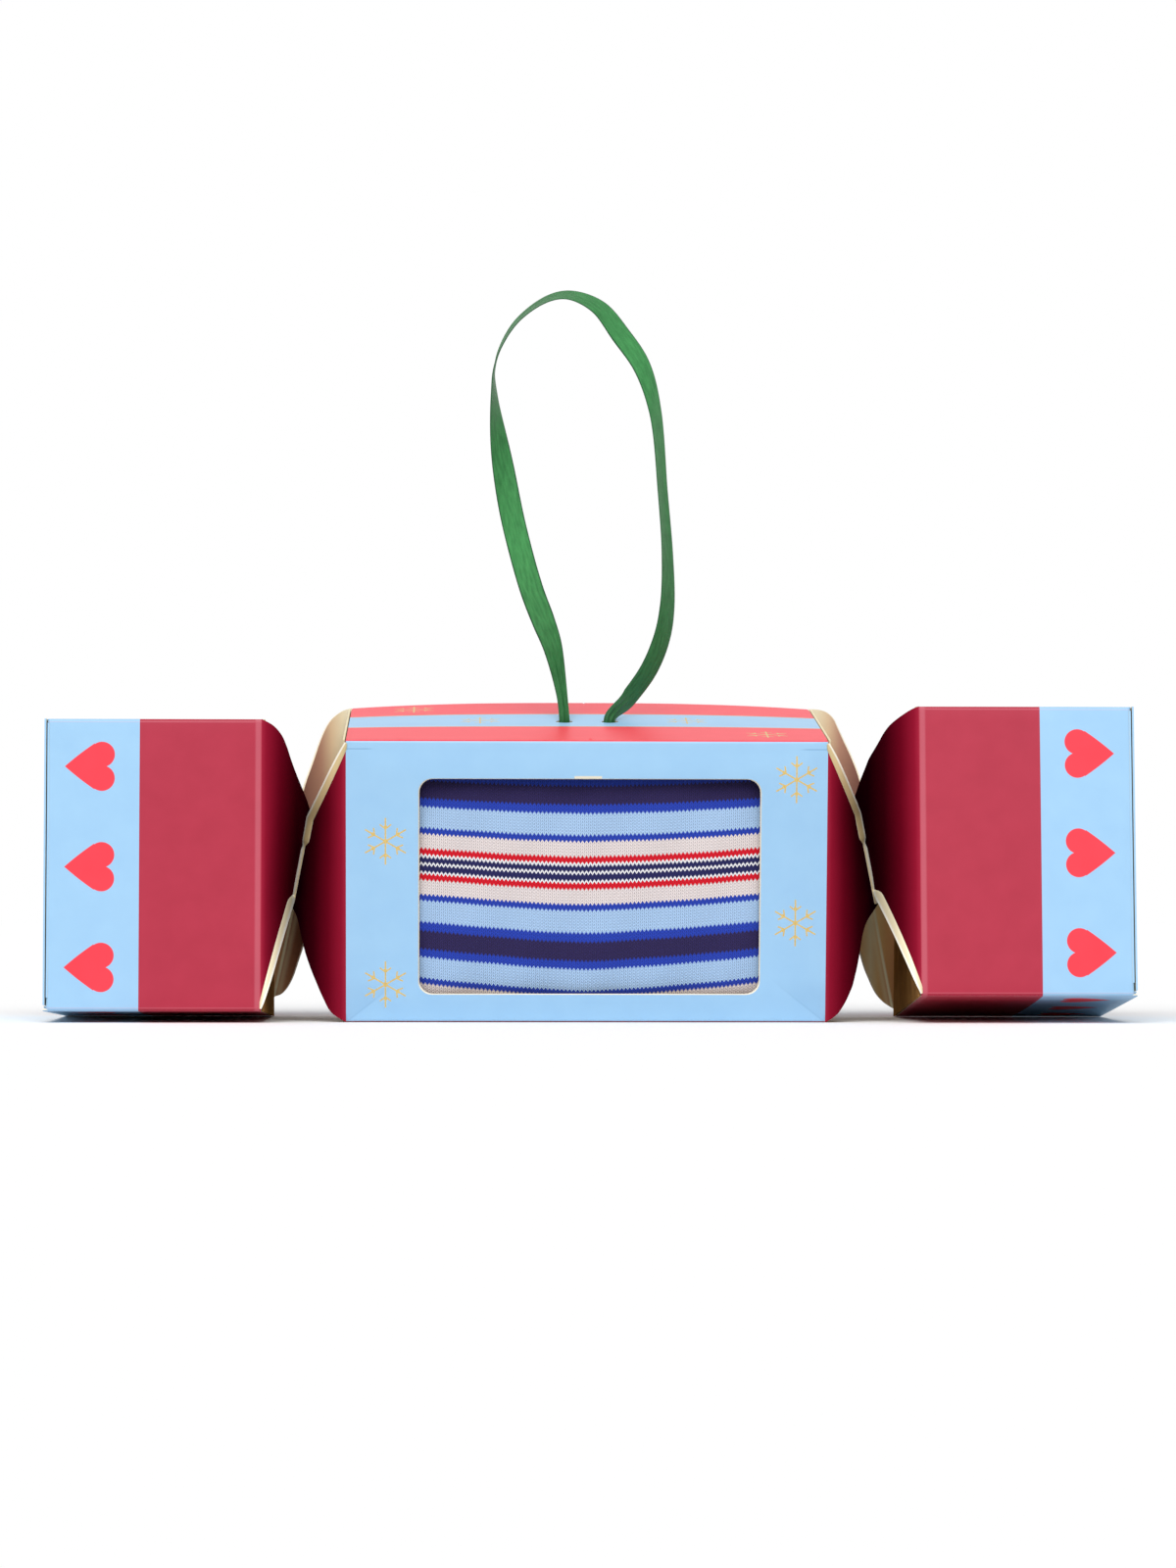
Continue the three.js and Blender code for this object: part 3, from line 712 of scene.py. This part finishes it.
# Distances on the print are in millimetres: half a panel's height and length, the snowflakes'
# columns beside the window, each with the height of one flake, their pitch and the pitch of
# those on the top, and the top's blue band
HALF_PANEL, HALF_PRINT = BODY_HALF * 1000, BODY_LENGTH * 500
LEFT_COLUMN, LEFT_FLAKE = -52.9, 10.8
RIGHT_COLUMN, RIGHT_FLAKE = 55.1, 27.3
COLUMN_PITCH, BAND_PITCH = 38.1, 27.9
BAND_MIDDLE, BAND_HALF = 40.0, 12.0

blue_print = card_look("light_blue_print", 0.42)
u, v = map_distances(blue_print.tree, "board")
right_hand = u > 0.0
flake_x = u - (right_hand * (RIGHT_COLUMN - LEFT_COLUMN) + LEFT_COLUMN)
flake_start = right_hand * (RIGHT_FLAKE - LEFT_FLAKE) + (LEFT_FLAKE - COLUMN_PITCH / 2)
flake_z = (v - flake_start) % COLUMN_PITCH - COLUMN_PITCH / 2
blue = blend_colours(blue_print.waves, *LIGHT_BLUES)
# painted shade of short scored lines and pulled creases near the corners, where the board was bent
far_out = HALF_PRINT - abs(u)
score_shade = within(v, 35.2, 0.16, 0.12) * below(far_out, 6.5, 1.5)
low_fold = far_out - (v + HALF_PANEL) * 1.25
fold_line_shade = within(low_fold, 0.0, 0.35, 0.3) * below(v, -30.0, 4.0)
shaded = below(low_fold, 0.0, 0.4) * below(v, -27.5, 3.0)
painted_fold_shade = highest(score_shade * 0.35, fold_line_shade * 0.12 + shaded * 0.1)
blue = blend_colours(painted_fold_shade, blue, as_seen(70, 120, 170))
# a pale notch in the window's upper edge, and a thin warm line along the lower crease
NOTCH_MIDDLE, NOTCH_HEIGHT, NOTCH_HALF, NOTCH_THIN = 0.3, 27.8, 3.6, 0.36
notch = within(u, NOTCH_MIDDLE, NOTCH_HALF, 0.1) * within(v, NOTCH_HEIGHT, NOTCH_THIN, 0.1)
blue = blend_colours(notch, blue, as_seen(232, 226, 205))
blue = blend_colours(below(v, -37.25, 0.06), blue, as_seen(196, 140, 110))
print_foil(blue_print, snowflake_shape(flake_x, flake_z), blue)

# the top is red with a blue band between two gold hairlines, and most snowflakes lie along it
red_print = card_look("red_and_blue_print", 0.42)
u, v = map_distances(red_print.tree, "board")
from_front = v + HALF_PANEL
blue_band = (from_front > BAND_MIDDLE - BAND_HALF) * (from_front < BAND_MIDDLE + BAND_HALF)
red = blend_colours(red_print.waves, *CORALS)
ground = blend_colours(blue_band, red, blend_colours(red_print.waves, *LIGHT_BLUES))
hairline = within(abs(from_front - BAND_MIDDLE), BAND_HALF, 0.28)
flake_x = (u + 14.0) % BAND_PITCH - BAND_PITCH / 2
in_place = within(abs(u), BAND_PITCH, 10.0)
flakes = snowflake_shape(flake_x, from_front - BAND_MIDDLE) * in_place
foil = highest(hairline, flakes)
for flake_u, flake_v in ((48.0, 13.5), (-46.0, 64.5)):
    foil = highest(foil, snowflake_shape(u - flake_u, from_front - flake_v))
print_foil(red_print, foil, ground)

burgundy_plain = card_look("burgundy_print", 0.46)
set_shader(burgundy_plain, Base_Color=blend_colours(burgundy_plain.waves, *BURGUNDIES))
gold_film = card_look("gold_film", 0.3)
set_shader(gold_film, Base_Color=blend_colours(gold_film.waves, *FILM_GOLDS), Metallic=FILM_METAL)
cut_edge = card_look("cut_edge_of_card", 0.8)
core = blend_colours(cut_edge.grain, as_seen(236, 224, 196), as_seen(255, 248, 230))
set_shader(cut_edge, Base_Color=core)


def dress_card(mesh, *looks):
    """Gives a sheet of card its looks: of its print, of its inside and of its cut edge."""
    for look in looks:
        mesh.materials.append(look.material)


def dress_node(node, look):
    """Gives a CAD part that keeps its shape a better material."""
    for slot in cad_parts[node].material_slots:
        slot.material = look.material


dress_card(front_mesh, blue_print, gold_film, cut_edge)
for board in top_boards:
    dress_card(board.data, red_print, gold_film, cut_edge)
dress_card(plain_boards["back"].data, blue_print, gold_film, cut_edge)
dress_card(plain_boards["bottom"].data, burgundy_plain, gold_film, cut_edge)
dress_node("body_glue_flap", gold_film)


# The two end boxes are shorter lengths of the same tube. Each has a light blue band at its outer
# end with three hearts on every side, and is burgundy from there to the neck.
END_HALF = 0.0384
END_LENGTH = 0.057
END_SWELL = 0.00035
LID_GAP = 0.0003
HEART_BAND = 25.0
# where each neck crease is, how far the box is turned, and how high its axis lies
ENDS = {
    "left": dict(outward=-1, crease=-0.0867, tilt=math.radians(-2.3), lift=0.03991),
    "right": dict(outward=1, crease=0.0867, tilt=math.radians(-5.4), lift=0.041843),
}
END_BOXES = {
    name: (end["tilt"], np.array([end["crease"], 0, end["lift"]])) for name, end in ENDS.items()
}

banded_print = card_look("burgundy_print_with_hearts", 0.46)
u, v = map_distances(banded_print.tree, "board")
burgundy = blend_colours(banded_print.waves, *BURGUNDIES)
blue = blend_colours(banded_print.waves, *LIGHT_BLUES)
ground = blend_colours(below(u, HEART_BAND, 0.04), burgundy, blue)
# a heart is two lobes and the straight sides that touch both of them and meet in the point
HEART_POINT, LOBE_ALONG, LOBE_ASIDE, LOBE = 5.4, 9.75, 3.12, 3.36
HEART_PITCH, HEART_SHIFT = 26.4, 0.55
b = u - HEART_POINT
a = abs((v + (HEART_PITCH / 2 + HEART_SHIFT)) % HEART_PITCH - HEART_PITCH / 2)
lobe_far = math.hypot(LOBE_ALONG, LOBE_ASIDE)
lean = math.atan2(LOBE_ASIDE, LOBE_ALONG) + math.asin(LOBE / lobe_far)
lobe = calc("SQRT", (b - LOBE_ALONG) ** 2.0 + (a - LOBE_ASIDE) ** 2.0) - LOBE
beside = a * math.cos(lean) - b * math.sin(lean)
beyond = b * math.cos(lean) + a * math.sin(lean) - math.sqrt(lobe_far**2 - LOBE**2)
# the sides swell a little between the point and the lobes
sides = highest(beside, beyond, b - LOBE_ALONG) - b * (LOBE_ALONG - b) * 0.011
in_heart = below(calc("MINIMUM", lobe, sides), 0.0, 0.06)
ground = blend_colours(in_heart, ground, blend_colours(banded_print.waves, *CORALS))
# a painted highlight along the scored neck crease and the long creases; pale flecks are rubbed print
crease_highlight_and_flecks = highest(within(u, 56.1, 0.7, 0.35), within(abs(v), 37.6, 0.12, 0.1))
flecks = step(banded_print.grain, 0.8, 0.84, form="LINEAR")
crease_highlight_and_flecks = highest(crease_highlight_and_flecks * 0.22, flecks * 0.5)
set_shader(banded_print, Base_Color=blend_colours(crease_highlight_and_flecks, ground, as_seen(235, 150, 165)))

wall = END_LENGTH - CARD - LID_GAP
for name, end in ENDS.items():
    for side, length in (("front", wall), ("top", wall), ("back", wall), ("bottom", END_LENGTH)):
        # the front and back boards end in the rounded crease that their dust flap hangs from
        turn_in = CREASE if side in ("front", "back") else 0.0
        straight = length - turn_in
        run = np.concatenate([np.linspace(0, straight, 25), np.full(6 if turn_in else 0, straight)])
        angle = np.concatenate([np.zeros(25), np.linspace(0, math.pi / 2, 7)[1:] if turn_in else []])
        run, s = np.meshgrid(run, girth(END_HALF, 25), indexing="ij")
        angle = angle[:, None]
        lengthwise = np.sin(np.pi * np.clip(run / END_LENGTH, 0, 1)) ** 0.7
        bulge = END_SWELL * np.clip(1 - (s / END_HALF) ** 2, 0, None) * lengthwise
        radii = (turn_in, max(turn_in - CARD, 0))
        rounding = [radius * (1 - np.cos(angle)) for radius in radii]
        skins = []
        for face, radius in enumerate(radii):
            x = end["outward"] * (run + radius * np.sin(angle))
            skins.append(folded_panel(x, s, END_HALF, side, bulge, rounding)[face])
        uv = np.stack([END_LENGTH - run - turn_in * angle, s], -1)
        mesh = folded_board(f"{name}_{side}_board", skins, END_BOXES[name], uv)
        # only the bottom board ends in a cut edge: the others are creased on to their flap or lid
        dress_card(mesh, banded_print, gold_film, cut_edge if side == "bottom" else banded_print)
        piece = new_piece(f"{name}_{side}_board", mesh, f"{name}_end")
        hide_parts(f"{name}_{side}_panel")
    dress_node(f"{name}_glue_flap", gold_film)


# The lids, tuck tabs and dust flaps close the outer ends. They are the same board in plain light
# blue with the gold film inside, and they keep the shapes that the frame gives them.
# Distances along X from the middle: just outside the flaps' inner faces, between flaps and lids,
# and just outside the lids' inner faces, and then a height just under the tabs' inner faces
FLAP_INNER, FLAP_OUTER, LID_INNER, TAB_INNER = 0.14242, 0.14305, 0.14322, -0.03712


def two_faced_board(name, is_outside):
    """Light blue print where is_outside is 1 at a place in the closed cracker, and gold elsewhere."""
    look = card_look(name, 0.42)
    place = add_node(look.tree, "SeparateXYZ")
    look.tree.links.new(add_node(look.tree, "TexCoord").outputs["Object"], place.inputs[0])
    outside = is_outside(*(Amount(look.tree, output) for output in place.outputs))
    gold = blend_colours(look.waves, *FILM_GOLDS)
    colour = blend_colours(outside, gold, blend_colours(look.waves, *LIGHT_BLUES))
    set_shader(look, Base_Color=colour, Metallic=FILM_METAL - outside * FILM_METAL)
    return look


def off_inner_faces(x, y, z):
    """All of a lid, and of the dust flaps that lie 0.3 mm inside it, but their inner faces."""
    reach = abs(x)
    return highest((reach > FLAP_INNER) * (reach < FLAP_OUTER), reach > LID_INNER)


closure_board = two_faced_board("light_blue_closure", off_inner_faces)
for name, end in ENDS.items():
    def under_inner_face(x, y, z, end=end):
        """All of a tuck tab but its inner face, by the height along the end box's own upright."""
        height = (z - end["lift"]) * math.cos(end["tilt"]) - y * math.sin(end["tilt"])
        return height < TAB_INNER

    for node in ("lid", "dust_flap_front", "dust_flap_back"):
        dress_node(f"{name}_{node}", closure_board)
    dress_node(f"{name}_tuck_tab", two_faced_board(f"light_blue_{name}_tab", under_inner_face))


# A neck is four petals of the same board, two on each side of the waist. A petal curls in from
# its crease to the waist, where it meets the one from the other box. One long edge follows the
# neck's corner, and the other is cut on the slant and turned out as a narrow gold lip.
def shaded_board(name, painted_light_tones):
    """A board painted in light and shade by how far in from the crease it is, in millimetres."""
    look = card_look(name, 0.42)
    look.u, look.v = map_distances(look.tree, "board")
    reach = painted_light_tones[-1][0]
    stops = [(at / reach, as_seen(*colour)) for at, colour in painted_light_tones]
    look.colour = colour_steps((look.u + look.waves * 0.5) / reach, stops)
    set_shader(look, Base_Color=look.colour)
    return look


# painted shade: the burgundy darkens from the crease to near black at the waist
petal_print_painted_shade = shaded_board("burgundy_print_painted_shade", [
    (0, (168, 40, 64)), (1.5, (142, 22, 46)), (5, (104, 8, 28)), (9, (58, 2, 14)), (13, (26, 0, 6)),
])
set_shader(petal_print_painted_shade, Specular_IOR_Level=0.0)
# painted light and shade: the gold film is pale cream at the crease and pinkish brown at the waist
petal_gold_painted_light = shaded_board("gold_film_painted_light", [
    (0, (255, 252, 232)), (3, (255, 244, 214)), (6, (244, 218, 186)), (9, (206, 160, 142)),
    (14, (146, 100, 94)),
])
set_shader(petal_gold_painted_light, Metallic=0.08)


def lit_gold(name, dull, bright, metal):
    """Gold film between a dull and a bright colour, painted with one place's light or shade."""
    look = card_look(name, 0.35)
    colour = blend_colours(look.waves, as_seen(*dull), as_seen(*bright))
    set_shader(look, Base_Color=colour, Metallic=metal, Specular_IOR_Level=0.0)
    return look


# painted light on the upper flaps, whose gold is pale, and painted shade on the lower, dark brown
upper_flap_gold_painted_light = lit_gold("gold_film_of_the_upper_flaps_painted_light", (236, 218, 176), (255, 246, 216), 0.1)
lower_flap_gold_painted_shade = lit_gold("gold_film_of_the_lower_flaps_painted_shade", (112, 78, 44), (176, 130, 74), 0.0)


def turned_out_gold(name, edge_highlight_tone, face_tone):
    """The gold of a lip, with a painted highlight as a brighter line along its cut edge."""
    look = card_look(name, 0.35)
    v = map_distances(look.tree, "board")[1]
    edge_highlight = below(v + look.waves * 0.1, 0.34, 0.12)
    dull_tone = [value * 0.94 for value in face_tone]
    face = blend_colours(look.waves, as_seen(*dull_tone), as_seen(*face_tone))
    set_shader(look, Base_Color=blend_colours(edge_highlight, face, as_seen(*edge_highlight_tone)), Metallic=0.1)
    return look


# painted light: the gold of the end boxes' lower lips is pale cream, that of the upper lips tan
upper_lip_gold_painted_light = turned_out_gold("gold_film_of_the_upper_lips_painted_light", (255, 250, 232), (232, 206, 152))
lower_lip_gold_painted_light = turned_out_gold("gold_film_of_the_lower_lips_painted_light", (255, 252, 236), (253, 240, 202))


def gold_with_painted_glint(name, painted_light_tones, foot, slant):
    """The gold of a petal with one painted glint, straight from the crease's foot to the waist."""
    look = shaded_board(name, painted_light_tones)
    beside = look.u - (foot - look.v) * slant
    glint = within(beside, 0.0, 0.4, 0.35)
    soft = within(beside, 1.3, 0.6, 0.9) * 0.5
    colour = blend_colours(highest(glint, soft), look.colour, as_seen(255, 246, 210))
    set_shader(look, Base_Color=colour, Specular_IOR_Level=0.0)
    return look


# the back petals of the end boxes show in the lower gaps, in painted shade with a painted glint
BACK_GOLDS = {
    "left": gold_with_painted_glint(
        "gold_film_left_painted_glint",
        [(0, (230, 180, 126)), (4, (205, 150, 110)), (7, (170, 116, 90)), (12, (90, 60, 50))],
        foot=36.0,
        slant=0.24,
    ),
    "right": gold_with_painted_glint(
        "gold_film_right_painted_glint",
        [
            (0, (196, 140, 96)), (3, (214, 164, 110)), (5.5, (238, 204, 142)), (8, (255, 244, 204)),
            (11, (250, 220, 164)), (14, (200, 150, 110)),
        ],
        foot=41.3,
        slant=0.207,
    ),
}

# Each outline gives the corner edge from the crease to the waist, in millimetres from the crease
# and from the axis, and then the place where the slanted edge meets the waist
LEFT_TIP, LEFT_BODY_TIP = (7.75, -7.1), (10.1, -14.6)
RIGHT_TIP, RIGHT_BODY_TIP = (10.5, -8.5), (9.6, -16)
PETALS = {
    "left_petal_front": ([
        (0, 38.4), (3.1, 36.7), (5.2, 34.3), (6.5, 31.4), (7.6, 28), (9.1, 23.9), (10.4, 20.7),
        (11.6, 17.6), (12.5, 14.5),
    ], LEFT_TIP),
    "left_petal_back": ([
        (0, 34), (0.9, 33), (2.6, 32.4), (4.4, 30.6), (6.1, 27.5), (7.6, 23.3), (9.1, 19.1),
        (10.7, 14.4), (12.2, 9.5),
    ], LEFT_TIP),
    "left_body_petal_front": ([
        (0, 37.5), (4, 34.9), (6.1, 31.3), (8.1, 27), (9.6, 23.6), (11.1, 19.6), (12.2, 15.5),
        (13.4, 11.4), (15.4, 8.7),
    ], LEFT_BODY_TIP),
    "left_body_petal_back": ([
        (0, 37.5), (2, 37), (3.8, 36.1), (5.9, 34.4), (7.4, 32.2), (9.1, 28.4), (10.8, 23.6),
        (13.1, 17.3), (14.9, 10),
    ], LEFT_BODY_TIP),
    "right_petal_front": ([
        (0, 38.4), (1.9, 37.6), (3.6, 36.6), (5.4, 35.4), (7.6, 33.6), (9.1, 31.6), (10.2, 29.6),
        (11.3, 27.7), (12.5, 25.6), (13.4, 23.2), (14.4, 20.5), (15.6, 16.5),
    ], RIGHT_TIP),
    "right_petal_back": ([
        (0, 36.6), (1.4, 35.8), (3.6, 34.4), (5.9, 32), (8.1, 27.9), (9.4, 25.2), (10.5, 22.1),
        (12.2, 16.8), (14.2, 11),
    ], RIGHT_TIP),
    "right_body_petal_front": ([
        (0, 37.5), (3.2, 35.4), (5.4, 32.3), (6.6, 29.9), (7.4, 28.1), (8.1, 25.5), (8.6, 23.6),
        (9.4, 19.8), (10.2, 15.5), (11.6, 12), (15.4, 8.6),
    ], RIGHT_BODY_TIP),
    "right_body_petal_back": ([
        (0, 37.5), (1.6, 37.5), (3.4, 37.3), (5.2, 36.7), (6.9, 35.2), (8.2, 32.6), (9.8, 29.2),
        (11.7, 25.2), (13.8, 19.4), (15.4, 9),
    ], RIGHT_BODY_TIP),
}
WAIST_HALF = 0.0185
LIP_WIDTHS = {"left_end": 0.00085, "right_end": 0.0011, "root": 0.0012}
LIP_START, LIP_MITRE = 0.0006, 0.0018
LIP_STANDS, LINE_STANDS, LIP_TUCKED = 0.0008, 0.0006, 0.0003
# the bare edge is a thin line, and it lies a little nearer the crease than the corner edge ends
BARE_EDGE, LINE_IN, LINE_STOP = 0.0004, 0.0008, 0.0004
PETAL_ROWS, PETAL_COLUMNS = 41, 25


def curled(t, z, corner, tip, half):
    """How deep a petal lies under its panel: the square of the share of the way from the crease
    to the waist line, which runs straight from the tip to the end of the corner edge. Past the
    tip it eases over to a line along the crease, as the logarithm of 1 + an exponential does."""
    slope = (corner[-1, 0] - tip[0]) / (corner[-1, 1] - tip[1])
    ease = 0.0014
    past_tip = ease * (np.logaddexp(0, (z - tip[1]) / ease) - math.log(2))
    return (half - WAIST_HALF) * np.clip(t / (tip[0] + slope * past_tip), 0, 1.06) ** 2


def lip_path(half, tip, corner, width, of_end):
    """The middle line of a lip's fold, the distances along it, the lip's width there and where the
    lip stops. On the middle box's petals it goes on past the tip for a third of the way down the
    waist, and then a thin line of bare edge runs on. It starts and stops in a short mitre."""
    path = np.array([[0, -half], tip, tip if of_end else corner[-1] - [LINE_IN, 0]])
    reached = lengths_along(path)
    stop = reached[1] + (0 if of_end else 0.33 * (reached[2] - reached[1]))
    along = np.linspace(LIP_START, stop, PETAL_ROWS)
    if not of_end:
        along = np.concatenate([along, np.linspace(stop, reached[2] - LINE_STOP, 14)[1:]])
    route = np.stack([np.interp(along, reached, column) for column in path.T], 1)
    mitre = np.clip(np.minimum(along / (LIP_MITRE / 2), (stop - along) / LIP_MITRE), 0.0, 1) ** 0.6
    return route, along, np.maximum(width * mitre, 0.00014 if of_end else BARE_EDGE), stop


def add_petal(label, corner, tip):
    """One petal and its lip. The petal is ruled between its slanted edge and its corner edge."""
    of_end = "body" not in label
    end_name = label.split("_")[0]
    end = ENDS[end_name]
    half = END_HALF if of_end else BODY_HALF
    toward = -end["outward"] if of_end else end["outward"]
    # the middle box's petals have their tip above, and a back petal is turned half round
    up = 1 if of_end else -1
    flip = -1 if label.endswith("back") else 1
    if of_end:
        box, body = END_BOXES[end_name], end_name + "_end"
    else:
        box, body = (BODY_TILT, BODY_PLACE + [end["outward"] * BODY_LENGTH / 2, 0, 0]), "root"
    share = np.linspace(0, 1, PETAL_ROWS)[:, None]
    cut = np.array([0, -half]) * (1 - share) + tip * share
    blend = np.linspace(0, 1, PETAL_COLUMNS)[None, :, None]
    corner_edge = even_line(smooth_line(corner, 200), PETAL_ROWS)[0]
    flat = cut[:, None] * (1 - blend) + corner_edge[:, None] * blend

    def on_petal(flat, above):
        """Points over the petal, lifted out along its own outward direction."""
        t, z = flat[..., 0], flat[..., 1]
        depth = curled(t, z, corner, tip, half)
        stride = 0.0001
        slope = (curled(t + stride, z, corner, tip, half) - depth) / stride
        lean = np.sqrt(1 + slope * slope)
        points = np.stack([toward * (t + slope / lean * above), depth - half - above / lean, up * z], -1)
        return in_tilted_box(points * [1, flip, flip], *box)

    mesh = card_mesh(f"{label}_board", on_petal(flat, 0.0), on_petal(flat, -CARD), flat)
    seen_at_back = of_end and label.endswith("petal_back")
    dress_card(mesh, petal_print_painted_shade, BACK_GOLDS[end_name] if seen_at_back else petal_gold_painted_light, cut_edge)
    piece = new_piece(f"{label}_board", mesh, body)
    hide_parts(label)

    width = LIP_WIDTHS[body]
    route, along, lip_width, stop = lip_path(half, tip, corner, width, of_end)
    heading = np.gradient(route, axis=0)
    heading /= np.linalg.norm(heading, axis=1)[:, None]
    inward = np.stack([-heading[:, 1], heading[:, 0]], 1)
    across_lip = np.linspace(0, 1, 7)
    lip = route[:, None] + inward[:, None] * (lip_width[:, None] * across_lip)[..., None]
    lip[..., 0] = np.clip(lip[..., 0], -LIP_TUCKED, None)
    leaning = LIP_STANDS * np.clip(lip_width / width, 0.3, 1)
    stands = np.where(along > stop, LINE_STANDS, leaning)[:, None]
    roll = 0.0001 + stands * (1 - across_lip) ** 0.7
    lip_uv = np.stack(np.broadcast_arrays(along[:, None], across_lip * lip_width[:, None]), -1)
    mesh = card_mesh(f"{label}_lip", on_petal(lip, roll), on_petal(lip, 0.00004 + 0 * roll), lip_uv)
    lip_gold = lower_lip_gold_painted_light if of_end else upper_lip_gold_painted_light
    dress_card(mesh, lip_gold, lip_gold, cut_edge)
    new_piece(f"{label}_lip", mesh, body)


for label, (corner, tip) in PETALS.items():
    add_petal(label, np.array(corner) * 0.001, np.array(tip) * 0.001)

for name in ENDS:
    for node, gold in (("flap_top", upper_flap_gold_painted_light), ("flap_bottom", lower_flap_gold_painted_shade)):
        dress_node(f"{name}_{node}", gold)
        dress_node(f"{name}_body_{node}", gold)


# The pair of socks is knitted in stripes, and each sock is folded over to a thick soft pad. The
# stripes lie along the box and sag a little in the middle of the window.
SOCK_LENGTH, SOCK_HEIGHT = 0.12, 0.067
SOCK_INSET = 0.0032
SOCK_GAP = 0.0005
SOCK_REACH = BODY_HALF - CARD - SOCK_INSET
SOCK_THICK = SOCK_REACH - SOCK_GAP
SOCK_PRESS = 0.0022
SOCK_BASE = -BODY_HALF + 0.0008
SOCK_ROUNDING, SOCK_END = 0.006, 0.075


def soft_pad(length, height, thick):
    """A pad standing on its long side: its section is a rounded rectangle carried along X, and
    towards both ends the section draws in on a quarter ellipse. Slow waves press its faces."""
    around = np.linspace(0, 2 * np.pi, 193)
    c, s = np.cos(around), np.sin(around)
    power = 2 / 5.5
    y = np.sign(c) * np.abs(c) ** power
    z = np.sign(s) * np.abs(s) ** power
    u = np.linspace(-1, 1, 161)[:, None]
    ends = np.clip((1 - np.abs(u)) / SOCK_END, 0, 1)
    draw = np.sqrt(1 - (1 - ends) ** 2 * 0.9999)
    inset = SOCK_ROUNDING * (1 - draw)
    x = u * length / 2 + 0 * y
    wave = 0.00035 * np.sin(u * 9 + z * 2) + 0.00025 * np.sin(u * 21 - z * 5 + 1)
    # the open side presses out towards the window
    ry = (thick / 2 - inset) * draw**0.3 + np.where(c < 0, SOCK_PRESS * draw, 0)
    rz = (height / 2 - inset) * draw**0.3
    points = np.stack([x, y * ry + wave * np.abs(y) ** 3 * np.sign(-y) * ends, z * rz], -1)
    # the distance round the pad is measured in the middle, from the middle of the open side
    distance = lengths_along(points[len(u) // 2])
    distance -= distance[len(around) // 2]
    return points, np.stack([x, np.broadcast_to(distance, x.shape)], -1)


# In millimetres: the knit's stitch, the stripes' pattern, and how the rows rise at the ends
WALE, COURSE, STITCH_LEAN = 1.06, 0.805, 0.8
STRIPE_PERIOD, STRIPE_START = 41.55, 25.65
SAG_HALF, SAG_MIDDLE, SAG_PER_ROW = 46.0, 2.8, -0.045
navy, royal, sky = as_seen(44, 34, 84), as_seen(38, 66, 182), as_seen(176, 208, 244)
oat, scarlet = as_seen(238, 226, 224), as_seen(226, 12, 38)
snow, ink = as_seen(246, 246, 248), as_seen(36, 36, 92)
STRIPES = [
    (0, navy), (4.92, royal), (7.19, sky), (13.11, royal), (14.7, oat), (18.73, scarlet),
    (20.43, snow), (21.11, ink), (22.71, snow), (23.36, ink), (25.04, snow), (25.75, scarlet),
    (27.37, oat), (31.37, royal), (33.05, sky), (39.07, royal),
]

knit = card_look("striped_knit", 0.9)
u, v = map_distances(knit.tree, "cloth")
# sag: the rows rise towards the ends of the window, more for the lower rows
sag = (abs(u) / SAG_HALF) ** 1.5 * (v * SAG_PER_ROW + SAG_MIDDLE)
# each wale's stitches lean to both sides, so a stripe's edge is a zigzag
zigzag = calc("PINGPONG", u, WALE / 2) * (STITCH_LEAN / (WALE / 2))
stitch_place = v - sag + zigzag
phase = (STRIPE_START - stitch_place) % STRIPE_PERIOD / STRIPE_PERIOD
stripes = colour_steps(phase, [(at / STRIPE_PERIOD, colour) for at, colour in STRIPES], "CONSTANT")
in_row = calc("COSINE", stitch_place * (2 * math.pi / COURSE))
in_wale = calc("COSINE", u * (4 * math.pi / WALE))
yarn_relief_and_shade = (in_row - in_wale) * 0.25 + 0.5
# painted shade between the stitches and painted light on them, from the knit's relief
set_shader(knit, Base_Color=blend_colours(1.0, stripes, yarn_relief_and_shade * 0.62 + 0.62, "MULTIPLY"))
set_shader(knit, Sheen_Weight=0.2, Specular_IOR_Level=0.2)
emboss(knit, yarn_relief_and_shade, 0.7, 0.00025)

for name, side in (("sock_front", -1), ("sock_back", 1)):
    points, uv = soft_pad(SOCK_LENGTH, SOCK_HEIGHT, SOCK_THICK)
    points = points * [1, -side, 1]
    points[..., 1] += side * (SOCK_REACH + SOCK_GAP) / 2
    points[..., 2] += SOCK_BASE + SOCK_HEIGHT / 2
    uv = uv * [1, -1] + [0, SOCK_BASE + SOCK_HEIGHT / 2]
    mesh = closed_skin(name + "_knit", in_tilted_box(points[:, :-1], *BODY_BOX), uv)
    mesh.materials.append(knit.material)
    piece = new_piece(name + "_knit", mesh, "root")
    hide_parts(name)
